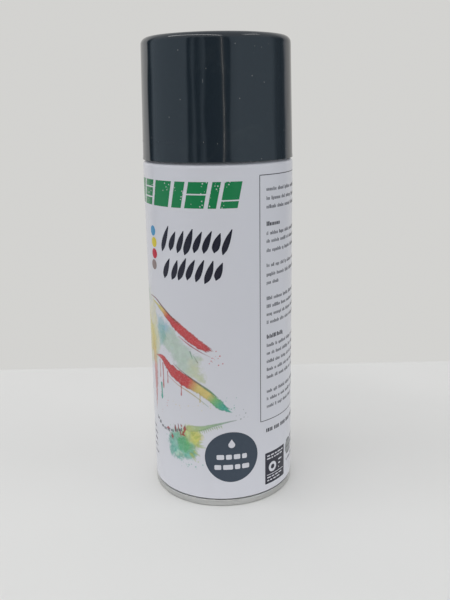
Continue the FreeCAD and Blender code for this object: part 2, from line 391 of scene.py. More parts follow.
def mat_ink(name, colour, wear=0.12, speck=0.0, under=None):
    """One printing ink: slight density changes, and pinholes where the plate printed thin."""
    m, nt, b = new_mat(name)
    oc = obj_coords(nt)
    lighter = tuple(c + (p - c) * wear for c, p in zip(colour, PAPER))
    c = mix_rgb(nt, noise(nt, oc, 700.0, 4.0, 0.65), colour, lighter)
    if speck > 0:
        v = node(nt, "ShaderNodeTexVoronoi")
        v.inputs["Scale"].default_value = 900.0
        link(nt, oc, v.inputs["Vector"])
        patch = math_node(nt, "GREATER_THAN", noise(nt, oc, 170.0, 3.0, 0.6), 0.56)
        hole = math_node(nt, "MULTIPLY", math_node(nt, "LESS_THAN", v.outputs["Distance"], speck), patch)
        c = mix_rgb(nt, math_node(nt, "MULTIPLY", hole, 0.8), c, PAPER)
    link(nt, c, b.inputs["Base Color"])
    link(nt, mix_val(nt, noise(nt, oc, 240.0, 3.0), 0.20, 0.30), b.inputs["Roughness"])
    n1 = bump(nt, noise(nt, oc, 26.0, 2.0), 0.25, 0.0004)
    link(nt, bump(nt, noise(nt, oc, 2600.0, 2.0), 0.10, 0.00002, n1), b.inputs["Normal"])
    b.inputs["Specular IOR Level"].default_value = PRINT_GLOSS
    return m


def mat_art():
    """Watercolour artwork: colours painted on the mesh, with paper grain and pooled pigment."""
    m, nt, b = new_mat("ink_watercolour_look")
    oc = obj_coords(nt)
    att = node(nt, "ShaderNodeVertexColor", layer_name="ink")
    grain = noise(nt, oc, 1500.0, 3.0, 0.6)
    c = mix_rgb(nt, math_node(nt, "MULTIPLY", math_node(nt, "SUBTRACT", grain, 0.45), 0.5, clamp=True),
                att.outputs[0], PAPER)
    link(nt, c, b.inputs["Base Color"])
    link(nt, mix_val(nt, noise(nt, oc, 240.0, 3.0), 0.20, 0.30), b.inputs["Roughness"])
    n1 = bump(nt, noise(nt, oc, 26.0, 2.0), 0.25, 0.0004)
    link(nt, bump(nt, noise(nt, oc, 2600.0, 2.0), 0.10, 0.00002, n1), b.inputs["Normal"])
    b.inputs["Specular IOR Level"].default_value = PRINT_GLOSS
    return m


def mat_tin(name, lo=(0.46, 0.46, 0.45), hi=(0.76, 0.76, 0.745), rough=(0.26, 0.42), warm=None):
    """Tinplate turned in the press: fine rings round the axis, a few darker handling marks."""
    m, nt, b = new_mat(name)
    vec, rad, ang, z = cylinder_coords(nt, 5.0, 2600.0, 2600.0)
    oc = obj_coords(nt)
    rings = noise(nt, vec, 1.0, 4.0, 0.6)
    blot = noise(nt, oc, 130.0, 4.0, 0.6)
    c = mix_rgb(nt, rings, lo, hi)
    c = mix_rgb(nt, math_node(nt, "MULTIPLY", math_node(nt, "SUBTRACT", blot, 0.5, clamp=True), 0.9), c,
                (0.22, 0.215, 0.20))
    if warm:
        c = mix_rgb(nt, 0.35, c, warm)
    link(nt, c, b.inputs["Base Color"])
    b.inputs["Metallic"].default_value = 1.0
    link(nt, mix_val(nt, math_node(nt, "MULTIPLY", math_node(nt, "ADD", rings, blot), 0.5), *rough),
         b.inputs["Roughness"])
    link(nt, bump(nt, rings, 0.12, 0.00003), b.inputs["Normal"])
    return m


def mat_cap():
    """Gloss near-black moulding: slow ripple from the tool, fine scuffs, specks of dust."""
    m, nt, b = new_mat("cap_plastic_look")
    vec, rad, ang, z = cylinder_coords(nt, 1.0, 0.0, 10.0)
    oc = obj_coords(nt)
    base = (0.0160, 0.0238, 0.0320)
    scuff = noise(nt, oc, 420.0, 5.0, 0.7, 0.6)
    scuff_zone = noise(nt, oc, 38.0, 2.0)
    s = math_node(nt, "MULTIPLY", math_node(nt, "SUBTRACT", scuff, 0.60, clamp=True),
                  math_node(nt, "SUBTRACT", scuff_zone, 0.40, clamp=True))
    s = math_node(nt, "MULTIPLY", s, 9.0, clamp=True)
    # fine scratches that run mostly up and down, as from sliding in a box
    sv = node(nt, "ShaderNodeCombineXYZ")
    link(nt, math_node(nt, "MULTIPLY", ang, 190.0), sv.inputs[0])
    link(nt, math_node(nt, "MULTIPLY", z, 60.0), sv.inputs[2])
    scratch = noise(nt, sv.outputs[0], 1.0, 2.0, 0.5, 0.4)
    side = math_node(nt, "MULTIPLY", math_node(nt, "SUBTRACT", 0.1985, z), 900.0, clamp=True)
    line = math_node(nt, "MULTIPLY", math_node(nt, "SUBTRACT", scratch, 0.74, clamp=True), math_node(nt, "MULTIPLY", side, 4.0), clamp=True)
    v = node(nt, "ShaderNodeTexVoronoi")
    v.inputs["Scale"].default_value = 330.0
    link(nt, oc, v.inputs["Vector"])
    dust = math_node(nt, "MULTIPLY", math_node(nt, "LESS_THAN", v.outputs["Distance"], 0.085),
                     math_node(nt, "GREATER_THAN", noise(nt, oc, 260.0, 2.0), 0.555))
    # lint: short pale hairs lying every way
    lv = node(nt, "ShaderNodeVectorMath", operation="MULTIPLY")
    lv.inputs[1].default_value = (1.0, 1.0, 0.22)
    link(nt, oc, lv.inputs[0])
    w = node(nt, "ShaderNodeTexVoronoi")
    w.inputs["Scale"].default_value = 210.0
    link(nt, lv.outputs[0], w.inputs["Vector"])
    lint = math_node(nt, "MULTIPLY", math_node(nt, "LESS_THAN", w.outputs["Distance"], 0.045),
                     math_node(nt, "GREATER_THAN", noise(nt, oc, 140.0, 2.0), 0.55))
    dust = math_node(nt, "MAXIMUM", dust, math_node(nt, "MULTIPLY", lint, 0.7))
    # a rub line low on the skirt where the cap is gripped and turned
    rub_n = noise(nt, vec, 3.0, 3.0, 0.6)
    rub = math_node(nt, "LESS_THAN", math_node(nt, "ABSOLUTE", math_node(nt, "SUBTRACT", z, 0.1597)), 0.00045)
    rub = math_node(nt, "MULTIPLY", rub, math_node(nt, "MULTIPLY", math_node(nt, "SUBTRACT", rub_n, 0.50, clamp=True), 8.0, clamp=True), clamp=True)
    # a dry smear here and there dulls the gloss
    smear = math_node(nt, "MULTIPLY", math_node(nt, "SUBTRACT", noise(nt, oc, 62.0, 4.0, 0.65, 0.8), 0.56, clamp=True), 5.0, clamp=True)
    c = mix_rgb(nt, math_node(nt, "MULTIPLY", s, 0.14), base, (0.10, 0.105, 0.11))
    c = mix_rgb(nt, math_node(nt, "MULTIPLY", smear, 0.05), c, (0.12, 0.13, 0.12))
    c = mix_rgb(nt, math_node(nt, "MULTIPLY", dust, 0.26), c, (0.42, 0.42, 0.40))
    link(nt, c, b.inputs["Base Color"])
    r = math_node(nt, "ADD", 0.055, math_node(nt, "MULTIPLY", s, 0.16))
    r = math_node(nt, "ADD", r, math_node(nt, "MULTIPLY", line, 0.12))
    r = math_node(nt, "ADD", r, math_node(nt, "MULTIPLY", rub, 0.22))
    r = math_node(nt, "ADD", r, math_node(nt, "MULTIPLY", smear, 0.07))
    link(nt, r, b.inputs["Roughness"])
    b.inputs["IOR"].default_value = 1.5
    ripple = mix_val(nt, side, noise(nt, oc, 45.0, 2.0, 0.5), noise(nt, vec, 2.2, 2.0, 0.5))
    n1 = bump(nt, ripple, 0.30, 0.0010)
    n2 = bump(nt, noise(nt, oc, 3200.0, 2.0), 0.03, 0.00001, n1)
    link(nt, n2, b.inputs["Normal"])
    return m


def mat_plastic(name, base, rough=0.38, sss=0.0, grain=1800.0, depth=0.10, tint=None, sheen_ring=False):
    m, nt, b = new_mat(name)
    oc = obj_coords(nt)
    lo = tuple(c * 0.90 for c in base)
    c = mix_rgb(nt, noise(nt, oc, 220.0, 4.0), lo, base)
    link(nt, c, b.inputs["Base Color"])
    link(nt, mix_val(nt, noise(nt, oc, 500.0, 3.0), rough * 0.8, rough * 1.2), b.inputs["Roughness"])
    if sss:
        b.inputs["Subsurface Weight"].default_value = sss
        b.inputs["Subsurface Radius"].default_value = (0.002, 0.002, 0.002)
        b.inputs["Subsurface Scale"].default_value = 1.0
    link(nt, bump(nt, noise(nt, oc, grain, 3.0), depth, 0.00004), b.inputs["Normal"])
    return m


def mat_metal(name, base, rough=0.2, scale=900.0, metallic=1.0):
    m, nt, b = new_mat(name)
    oc = obj_coords(nt)
    n = noise(nt, oc, scale, 4.0, 0.6)
    c = mix_rgb(nt, n, tuple(c * 0.82 for c in base), base)
    link(nt, c, b.inputs["Base Color"])
    b.inputs["Metallic"].default_value = metallic
    link(nt, mix_val(nt, n, rough * 0.7, rough * 1.3), b.inputs["Roughness"])
    link(nt, bump(nt, n, 0.06, 0.00002), b.inputs["Normal"])
    return m


M_PRINT = mat_print()
M_TIN = mat_tin("bare_tinplate_look")
M_CUP = mat_tin("cup_tinplate_look", warm=(0.66, 0.60, 0.46))
M_CAP = mat_cap()
M_HEAD = mat_plastic("head_plastic_look", (0.80, 0.80, 0.79), 0.34, 0.08, 2400.0, 0.16)
M_INSERT = mat_plastic("insert_plastic_look", (0.055, 0.056, 0.060), 0.40, 0.0, 2200.0, 0.12)
M_VALVE = mat_plastic("valve_plastic_look", (0.78, 0.77, 0.72), 0.42, 0.10, 1500.0, 0.12)
M_TUBE = mat_plastic("tube_plastic_look", (0.74, 0.76, 0.74), 0.30, 0.25, 700.0, 0.06)
M_GASKET = mat_plastic("gasket_rubber_look", (0.030, 0.030, 0.031), 0.62, 0.0, 1300.0, 0.30)
M_COMPOUND = mat_plastic("seam_compound_look", (0.30, 0.30, 0.28), 0.70, 0.0, 1000.0, 0.35)
M_SPRING = mat_metal("spring_steel_look", (0.58, 0.58, 0.57), 0.26)
M_BALL = mat_metal("ball_steel_look", (0.66, 0.66, 0.66), 0.12, 500.0)


# ------------------------------------------------------------------ tinplate
SEAM_TOP = 155.39
CROWN = SEAM_TOP - T_END / 2
HOOK = CROWN - T_END / 2 - 0.33
body_c = R - T_BODY / 2

body = lathe("can_body_shell", sheet_outline(
    [(B_BHOOK, 2.35), (B_BHOOK, 0.58), (B_WALL, 0.58), (B_WALL, 3.05), (body_c, 3.9),
     (body_c, 150.3), (S_WALL, 152.0), (S_WALL, HOOK), (S_BHOOK, HOOK), (S_BHOOK, HOOK - 1.78)],
    [0.2, 0.2, 0.5, 0.8, 1.2, 0.6, 0.2, 0.2], T_BODY), 384, M_PRINT)
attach(body, "container")
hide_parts("can_body")

base_end = lathe("bottom_end_shell", sheet_outline(
    [(B_EHOOK, 0.95), (B_EHOOK, 3.0 - T_END / 2), (B_SKIRT, 3.0 - T_END / 2), (B_SKIRT, T_END / 2),
     (B_CHUCK, T_END / 2), (B_CHUCK, 5.0), (16.07, 11.6), (0.0, 11.6)],
    [0.2, 0.2, 0.4, 0.4, 0.8, 16.07 / math.tan(math.atan2(6.6, B_CHUCK - 16.07) / 2)], T_END),
    384, M_TIN)
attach(base_end, "container")
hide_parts("bottom_end")

cone = lathe("top_cone_shell", sheet_outline(
    [(S_EHOOK, 154.4), (S_EHOOK, 152.45), (S_SKIRT, 152.45), (S_SKIRT, CROWN), (S_CHUCK, CROWN),
     (S_CHUCK, 151.2), (28.6, 151.2), (27.2, 154.4), (21.5, 159.6), (12.85, 162.9),
     (12.85, 166.4), (15.45, 166.4), (15.45, 164.3), (14.2, 164.3)],
    [0.2, 0.2, 0.4, 0.4, 0.6, 0.6, 6.0, 14.0, 1.2, 1.15, 1.15, 0.9], T_END), 320, M_TIN)
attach(cone, "container")
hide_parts("top_cone")

cup_c = 16.0 - T_CUP / 2
cup = lathe("valve_cup_shell", sheet_outline(
    [(cup_c, 164.35), (cup_c, 167.25), (12.4, 167.25), (12.4, 162.6), (12.95, 161.7),
     (12.4, 160.6), (12.4, 158.4), (5.95, 158.4), (5.95, 163.4), (5.65, 163.8),
     (5.65, 164.6), (5.95, 165.0), (5.95, 167.6), (2.6, 167.6)],
    [0.9, 0.9, 0.5, 0.5, 0.5, 0.9, 0.8, 0.4, 0.4, 0.4, 0.4, 0.8], T_CUP), 256, M_CUP)
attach(cup, "container")
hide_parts("valve_cup")

# ------------------------------------------------------------------ overcap
TOP_C = 201.07 - T_CAP / 2
CAP_LINE = [(32.02, 151.7), (31.86, 153.5), (30.83, TOP_C), (0.0, TOP_C)]
a_side = offset_line(CAP_LINE, [6.0, 2.25], T_CAP / 2, 5.0, 3.0)
b_side = offset_line(CAP_LINE, [6.0, 2.25], -T_CAP / 2, 5.0, 3.0)
inner, outer = (a_side, b_side) if a_side[0][0] < b_side[0][0] else (b_side, a_side)
# gate mark: a shallow dimple with its sprue stub at the centre of the top
outer = [p for p in outer if p[0] > 3.1] + [(3.0, 201.07), (2.68, 201.055), (2.52, 200.90), (2.30, 200.87),
                                            (0.80, 200.87), (0.62, 200.90), (0.55, 201.0), (0.40, 201.01), (0.0, 201.01)]
# rounded lower lip and snap bead
lip = [(outer[0][0], outer[0][1] + 0.22), (outer[0][0] - 0.06, outer[0][1] + 0.06),
       (outer[0][0] - 0.22, outer[0][1]), (inner[0][0] + 0.20, inner[0][1]),
       (inner[0][0] + 0.05, inner[0][1] + 0.05)]
bead = [(31.42, 151.85), (31.30, 152.05), (31.22, 152.2), (31.30, 152.35), (31.42, 152.55)]
inner_up = [p for p in inner if p[1] > 152.7]
outer_up = [p for p in outer if p[1] > 152.05]
cap = lathe("overcap_shell", outer_up[::-1] + lip + bead + inner_up, 384, M_CAP)
for k in range(12):
    # inner ribs that centre the cap on the shoulder seam
    w = 0.45
    prof = [(29.3, 155.45), (31.2, 155.45), (31.2, 166.0), (31.0, 174.0), (30.5, 174.0), (29.3, 170.5)]
    a = math.radians(15 + 30.0 * k)
    vs, fs = [], []
    for side in (-w, w):
        for r, z in prof:
            vs.append(((r * math.cos(a) - side * math.sin(a)) * MM,
                       (r * math.sin(a) + side * math.cos(a)) * MM, z * MM))
    n = len(prof)
    fs.append(tuple(range(n)))
    fs.append(tuple(range(2 * n - 1, n - 1, -1)))
    for i in range(n):
        fs.append((i, (i + 1) % n, n + (i + 1) % n, n + i))
    if k == 0:
        rv, rf = [], []
    off = len(rv)
    rv += vs
    rf += [tuple(i + off for i in f) for f in fs]
ribs = make_object("ribs", rv, rf, M_CAP, smooth=False)
boolean(cap, ribs, "UNION")
cap.data.shade_smooth()
cap.data.set_sharp_from_angle(angle=math.radians(32))
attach(cap, "cap")
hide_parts("overcap")


# ------------------------------------------------------------------ spray head
HZ, HT, NZ = 171.3, 185.6, 180.3
head = lathe("spray_head_shell", rounded(
    [(0, 175.98), (2.03, 175.98), (2.03, HZ + 0.3), (3.6, HZ + 0.3), (3.6, HZ + 3.2), (6.25, HZ + 3.2),
     (6.25, HZ), (7.2, HZ), (7.42, HZ + 0.3), (7.42, HZ + 1.9), (7.15, HZ + 2.35), (6.6, HZ + 2.75),
     (6.45, HZ + 3.3), (6.13, HT - 1.3), (5.0, HT), (0, HT)],
    [0, 0.1, 0.15, 0.15, 0.2, 0.2, 0.15, 0.3, 0.2, 0.3, 0.3, 0.4, 0.5, 1.2, 1.0, 0]), 160, M_HEAD, 40)
bpy.context.view_layer.update()


def cutter_sphere(r, loc):
    bm = bmesh.new()
    bmesh.ops.create_icosphere(bm, subdivisions=6, radius=r * MM)
    bmesh.ops.translate(bm, verts=bm.verts, vec=Vector(loc) * MM)
    me = bpy.data.meshes.new("c")
    bm.to_mesh(me)
    bm.free()
    me.materials.append(M_HEAD)
    o = bpy.data.objects.new("c", me)
    scene.collection.objects.link(o)
    return o


def cutter_box(lo, hi, soft=0.0):
    bm = bmesh.new()
    bmesh.ops.create_cube(bm, size=1.0)
    for v in bm.verts:
        v.co = Vector([((lo[i] + hi[i]) / 2 + v.co[i] * (hi[i] - lo[i])) * MM for i in range(3)])
    if soft:
        bmesh.ops.bevel(bm, geom=bm.edges[:], offset=soft * MM, segments=4, profile=0.5, affect="EDGES")
    me = bpy.data.meshes.new("c")
    bm.to_mesh(me)
    bm.free()
    me.materials.append(M_HEAD)
    o = bpy.data.objects.new("c", me)
    scene.collection.objects.link(o)
    return o


def turned_y(name, outline, seg, z, mat, sharp=32.0):
    """Closed solid turned about the nozzle's line: outline of (radius, distance towards -Y)."""
    o = lathe(name, outline, seg, mat, sharp)
    o.data.transform(Matrix(((1, 0, 0, 0), (0, 0, -1, 0), (0, 1, 0, z * MM), (0, 0, 0, 1))))
    return o


boolean(head, cutter_sphere(13.0, (0, -0.6, HT + 11.9)), "DIFFERENCE")
boolean(head, cutter_box((-7.0, -9.5, NZ - 4.1), (7.0, -5.75, NZ + 4.3)), "DIFFERENCE")
boolean(head, turned_y("c", rounded([(0, 2.0), (2.6, 2.0), (2.6, 7.0), (0, 7.0)], 0), 96, NZ, M_HEAD), "DIFFERENCE")
boolean(head, lathe("c", [(0, 175.0), (0.75, 175.0), (0.75, NZ + 0.4), (0, NZ + 0.4)], 48, M_HEAD), "DIFFERENCE")
boolean(head, turned_y("c", rounded([(0, -0.4), (0.75, -0.4), (0.75, 2.6), (0, 2.6)], 0), 48, NZ, M_HEAD), "DIFFERENCE")
bev = head.modifiers.new("bevel", "BEVEL")
bev.width = 0.14 * MM
bev.segments = 3
bev.limit_method = "ANGLE"
bev.angle_limit = math.radians(35)
bev.use_clamp_overlap = True
apply_all(head)
head.data.shade_smooth()
head.data.set_sharp_from_angle(angle=math.radians(38))
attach(head, "actuator")
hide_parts("spray_head")

insert = turned_y("nozzle_insert_shell", rounded(
    [(0.22, 3.4), (0.22, 4.78), (1.45, 5.72), (2.4, 5.75), (2.55, 5.6), (2.55, 2.05), (0.9, 2.05), (0.9, 3.4)],
    [0.03, 0.05, 0.15, 0.12, 0.1, 0.1, 0.08, 0.08]), 128, NZ, M_INSERT)
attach(insert, "actuator")
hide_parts("nozzle_insert")

# ------------------------------------------------------------------ small turned pieces and the spring
coil_pts = []
turns, sr, wr = 7.0, 2.3, 0.25
z0, z1 = 151.25 + wr, 163.55 - wr
steps = int(turns * 56)
for i in range(steps + 1):
    t = i / steps
    a = 2 * math.pi * turns * t
    coil_pts.append(Vector((sr * math.cos(a), sr * math.sin(a), z0 + (z1 - z0) * t)) * MM)
verts, faces = [], []
nside = 20
for i, p in enumerate(coil_pts):
    q = (coil_pts[min(i + 1, steps)] - coil_pts[max(i - 1, 0)]).normalized()
    out = Vector((p.x, p.y, 0)).normalized()
    up = q.cross(out).normalized()
    out = up.cross(q).normalized()
    for j in range(nside):
        g = 2 * math.pi * j / nside
        verts.append(p + (out * math.cos(g) + up * math.sin(g)) * wr * MM)
for i in range(steps):
    for j in range(nside):
        k = (j + 1) % nside
        faces.append((i * nside + j, i * nside + k, (i + 1) * nside + k, (i + 1) * nside + j))
faces.append(tuple(range(nside - 1, -1, -1)))
faces.append(tuple(range(steps * nside, steps * nside + nside)))
coil = make_object("valve_spring_coil", verts, faces, M_SPRING)
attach(coil, "container")
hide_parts("valve_spring")
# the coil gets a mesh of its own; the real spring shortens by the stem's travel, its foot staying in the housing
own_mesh(coil)


def finish_node(name, mat):
    o = NODES[name]
    if not o.material_slots:
        o.data.materials.append(mat)
    for s in o.material_slots:
        s.material = mat


for name, mat in (("bottom_seam_compound", M_COMPOUND), ("top_seam_compound", M_COMPOUND),
                  ("cup_gasket", M_GASKET), ("stem_gasket", M_GASKET), ("valve_housing", M_VALVE),
                  ("valve_stem", M_VALVE), ("dip_tube", M_TUBE),
                  ("mixing_ball_1", M_BALL), ("mixing_ball_2", M_BALL)):
    finish_node(name, mat)
# ------------------------------------------------------------------ the print: flat shapes wrapped on the can
def wrap(s, z, h):
    """A point of the print: s millimetres round from the front, z up, h proud of the surface."""
    a = s / R
    return ((R + h) * math.sin(a) * MM, -(R + h) * math.cos(a) * MM, z * MM)


def at(a_cam, z):
    """Print coordinates of a point given by its angle from the camera-facing line."""
    return ((a_cam + FACING) * K, z)


def ink(name, shapes, mat, lift=0.022, base=-0.012, step=1.1):
    """A closed film of ink: shapes are lists of loops, the outline first and then its holes."""
    bm = bmesh.new()
    for loops in shapes:
        flat = [Vector((p[0], p[1], 0)) for lp in loops for p in lp]
        tris = geometry.tessellate_polygon([[Vector((p[0], p[1], 0)) for p in lp] for lp in loops])
        vs = [bm.verts.new(v) for v in flat]
        for t in tris:
            try:
                bm.faces.new([vs[i] for i in t])
            except ValueError:
                pass
    bmesh.ops.dissolve_limit(bm, angle_limit=0.001, verts=bm.verts, edges=bm.edges, delimit=set())
    lo = min(v.co.x for v in bm.verts)
    hi = max(v.co.x for v in bm.verts)
    k = math.floor(lo / step) + 1
    while k * step < hi:
        bmesh.ops.bisect_plane(bm, geom=bm.verts[:] + bm.edges[:] + bm.faces[:], dist=1e-5,
                               plane_co=(k * step, 0, 0), plane_no=(1, 0, 0))
        k += 1
    bm.normal_update()
    bm.verts.ensure_lookup_table()
    for i, v in enumerate(bm.verts):
        v.index = i
    n = len(bm.verts)
    verts = [wrap(v.co.x, v.co.y, lift) for v in bm.verts] + [wrap(v.co.x, v.co.y, base) for v in bm.verts]
    faces = []
    for f in bm.faces:
        ids = [v.index for v in f.verts]
        if f.normal.z < 0:
            ids = ids[::-1]
        faces.append(tuple(ids))
        faces.append(tuple(i + n for i in ids[::-1]))
    for e in bm.edges:
        if len(e.link_faces) == 1:
            f = e.link_faces[0]
            for lp in f.loops:
                if lp.edge == e:
                    a, b = lp.vert.index, lp.link_loop_next.vert.index
                    if f.normal.z < 0:
                        a, b = b, a
                    faces.append((b, a, a + n, b + n))
    bm.free()
    me = bpy.data.meshes.new(name)
    me.from_pydata(verts, [], faces)
    me.validate()
    me.shade_smooth()
    me.set_sharp_from_angle(angle=math.radians(40))
    me.materials.append(mat)
    o = bpy.data.objects.new(name, me)
    scene.collection.objects.link(o)
    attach(o, "container")
    return o


def rect(s0, z0, s1, z1, r=0.0, n=3):
    if r <= 0:
        return [(s0, z0), (s1, z0), (s1, z1), (s0, z1)]
    r = min(r, (s1 - s0) / 2.02, (z1 - z0) / 2.02)
    out = []
    for cx, cz, a0 in ((s1 - r, z0 + r, -90), (s1 - r, z1 - r, 0), (s0 + r, z1 - r, 90), (s0 + r, z0 + r, 180)):
        for j in range(n + 1):
            g = math.radians(a0 + 90.0 * j / n)
            out.append((cx + r * math.cos(g), cz + r * math.sin(g)))
    return out


def disc(s, z, r, n=48, squash_s=1.0):
    return [(s + r * squash_s * math.cos(2 * math.pi * j / n), z + r * math.sin(2 * math.pi * j / n)) for j in range(n)]


def smooth_path(pts, per=8):
    """Catmull-Rom through the points."""
    out = []
    p = [pts[0]] + list(pts) + [pts[-1]]
    for i in range(1, len(p) - 2):
        for j in range(per):
            t = j / per
            q = []
            for k in range(len(pts[0])):
                a, b, c, d = p[i - 1][k], p[i][k], p[i + 1][k], p[i + 2][k]
                q.append(0.5 * (2 * b + (c - a) * t + (2 * a - 5 * b + 4 * c - d) * t * t
                                + (3 * b - a - 3 * c + d) * t ** 3))
            out.append(tuple(q))
    out.append(tuple(pts[-1]))
    return out


def brush(pts, per=7, cap_n=5):
    """Outline of a stroke through (s, z, half width) points, with round ends."""
    path = smooth_path(pts, per)
    n = len(path)
    left, right = [], []
    for i, (s, z, w) in enumerate(path):
        a = path[max(i - 1, 0)]
        b = path[min(i + 1, n - 1)]
        dx, dz = b[0] - a[0], b[1] - a[1]
        length = math.hypot(dx, dz) or 1.0
        nx, nz = -dz / length, dx / length
        left.append((s + nx * w, z + nz * w))
        right.append((s - nx * w, z - nz * w))

    def round_end(centre, frm, n_):
        cx, cz, w = centre
        a0 = math.atan2(frm[1] - cz, frm[0] - cx)
        return [(cx + w * math.cos(a0 - math.pi * j / n_), cz + w * math.sin(a0 - math.pi * j / n_)) for j in range(1, n_)]

    return left + round_end(path[-1], left[-1], cap_n) + right[::-1] + round_end(path[0], right[0], cap_n)


def small_print(rng, s0, z, s1, h=1.08, unit=0.40, gap=0.25, space=0.85, tall=0.30):
    """A line of small print seen from afar: runs of upright ticks with gaps, no letters."""
    out, s = [], s0
    while s < s1 - 3 * unit:
        for _ in range(rng.randint(2, 10)):
            w = unit * rng.uniform(0.75, 1.30)
            if s + w > s1:
                break
            up = 0.42 * h if rng.rand() < tall else 0.0
            down = 0.30 * h if up == 0.0 and rng.rand() < 0.10 else 0.0
            out.append([[(s, z - h / 2 - down), (s + w, z - h / 2 - down), (s + w, z + h / 2 + up), (s, z + h / 2 + up)]])
            s += w + gap
        s += space
    return out


def words(rng, s0, z, s1, h, lo=1.6, hi=6.5, gap=1.05, r=0.3, bold=False):
    """A row of short bars that stands for a line of small print."""
    out, s = [], s0
    while s < s1 - 0.8:
        w = min(rng.uniform(lo, hi), s1 - s)
        out.append([rect(s, z - h / 2, s + w, z + h / 2, r)])
        s += w + gap * rng.uniform(0.85, 1.2)
    return out


def lin(v):
    v /= 255.0
    return v / 12.92 if v <= 0.04045 else ((v + 0.055) / 1.055) ** 2.4


def tone(r, g, b, k=1.50, gloss=0.011):
    """Reflectance of an ink that looks like this display colour under the scene's light and gloss."""
    return tuple(min(0.9, max(0.006, (lin(v) - gloss) * k)) for v in (r, g, b))


INK_GREEN = mat_ink("ink_green_look", tone(1, 108, 67), 0.02, 0.26)
INK_DARK = mat_ink("ink_dark_look", tone(30, 31, 43), 0.04, 0.0)
INK_SLATE = mat_ink("ink_slate_look", tone(58, 66, 76), 0.02, 0.0)
INK_BOX = mat_ink("ink_box_look", tone(46, 46, 54), 0.03, 0.0)
INK_GREY = mat_ink("ink_grey_look", tone(70, 71, 76), 0.06, 0.0)
INK_LINE = mat_ink("ink_line_look", tone(60, 60, 64), 0.08, 0.0)
INK_BOLD = mat_ink("ink_bold_look", tone(48, 48, 54), 0.08, 0.0)
INK_WHITE = mat_ink("ink_white_look", PAPER, 0.0, 0.0)
INK_BLUE = mat_ink("ink_blue_look", tone(66, 126, 162), 0.05, 0.0)
INK_YELLOW = mat_ink("ink_yellow_look", tone(184, 168, 54), 0.05, 0.0)
INK_RED = mat_ink("ink_red_look", tone(162, 36, 54), 0.05, 0.0)
INK_STONE = mat_ink("ink_stone_look", tone(120, 106, 104), 0.06, 0.0)

rng = np.random.RandomState(20)

# a bold green stencil band of slanted blocks across the front, centred on it
band = []


def slant(s0, s1, z0, z1, lean, cut=()):
    """A leaning block, parted by thin stencil bridges at the given heights."""
    zs = [z0] + [z for c in cut for z in (c - 0.28, c + 0.28)] + [z1]
    for i in range(0, len(zs), 2):
        a, b = zs[i], zs[i + 1]
        la, lb = (a - z0) / (z1 - z0) * lean, (b - z0) / (z1 - z0) * lean
        band.append([[(s0 + la, a), (s1 + la, a), (s1 + lb, b), (s0 + lb, b)]])


Z0, Z1 = 133.8, 144.4
edges = [(-55.0, -47.4), (-44.6, -33.2), (-30.6, -17.6), (-14.6, 2.0), (5.2, 13.6), (16.4, 31.0), (34.0, 40.0), (42.8, 55.4)]
cuts = [(139.0,), (), (137.2, 141.4), (), (), (139.4,), (), (136.9,)]
for (a0, a1), cc in zip(edges, cuts):
    slant(a0 * K - 1.1, a1 * K - 1.1, Z0, Z1, 2.2, cc)
ink("print_green_band", band, INK_GREEN)

# two rows of separate slanting brush dabs under the band
rows = []
r_ = np.random.RandomState(31)


def dabs(a0, a1, z_mid, count, tall, w):
    for j in range(count):
        s = (a0 + (a1 - a0) * (j + 0.5) / count + FACING) * K + r_.uniform(-0.25, 0.25)
        h = tall * r_.uniform(0.74, 1.06)
        z = z_mid + r_.uniform(-0.45, 0.45)
        lean, bow, k = 3.7 * h / tall + r_.uniform(-0.3, 0.3), r_.uniform(-0.35, 0.35), w * r_.uniform(0.88, 1.12)
        rows.append([brush([(s - lean * 0.5, z - h * 0.5, 0.30), (s - lean * 0.27 + bow, z - h * 0.28, k), (s + lean * 0.10 + bow, z + h * 0.10, k * 0.94),
                            (s + lean * 0.50, z + h * 0.5, 0.22)])])


dabs(-47.5, 9.0, 120.2, 8, 10.2, 1.34)
dabs(-46.5, 3.0, 108.0, 7, 9.4, 1.34)
ink("print_brush_rows", rows, INK_DARK)

# four round spots of colour, one above another
c0 = at(-60.2, 115.4)
for j, (nm, mt) in enumerate((("blue", INK_BLUE), ("yellow", INK_YELLOW), ("red", INK_RED), ("stone", INK_STONE))):
    ink("print_key_" + nm, [[disc(c0[0] + (0.0, 0.7, 0.7, 0.0)[j], c0[1] + 7.35 - 4.9 * j, 2.2, 48)]], mt)

# framed panel of small print: bars, no words
A_LEFT = 30.9
panel_s0, panel_s1 = (A_LEFT + FACING) * K, 148.0 * K
zt, zb = 146.3, 38.6
wl = 0.17
frame_shapes = [[rect(panel_s0 - wl, zb - wl, panel_s1 + wl, zt + wl, 0.35, 4), rect(panel_s0 + wl, zb + wl, panel_s1 - wl, zt - wl, 0.12, 3)]]
ink("print_panel_frame", frame_shapes, INK_LINE)
s_text = (37.0 + FACING) * K
plain, bold = [], []
lines = [(140.3, 0), (136.6, 0), (133.1, 0), (126.0, 1), (122.1, 0), (118.8, 0), (114.9, 0), (108.5, 0), (104.6, 0), (101.1, 2),
         (94.2, 0), (90.7, 0), (87.2, 0), (83.6, 0), (77.1, 1), (73.2, 0), (69.6, 0), (65.9, 0), (62.2, 0), (58.7, 3), (52.0, 0), (48.5, 0), (44.9, 3)]
for z, kind in lines:
    # each line runs level round the can; the last of a block is short
    end = panel_s1 - 3.2 - rng.uniform(0.0, 4.0)
    if kind == 1:
        bold += small_print(rng, s_text, z, s_text + rng.uniform(9.5, 12.0), 1.30, 0.66, 0.26, 0.3)
    elif kind == 2:
        plain += small_print(rng, s_text, z, s_text + 8.6)
    elif kind == 3:
        plain += small_print(rng, s_text, z, s_text + rng.uniform(19, 26))
    else:
        plain += small_print(rng, s_text, z, end)
ink("print_panel_rows", plain, INK_GREY)
ink("print_panel_heads", bold, INK_BOLD)

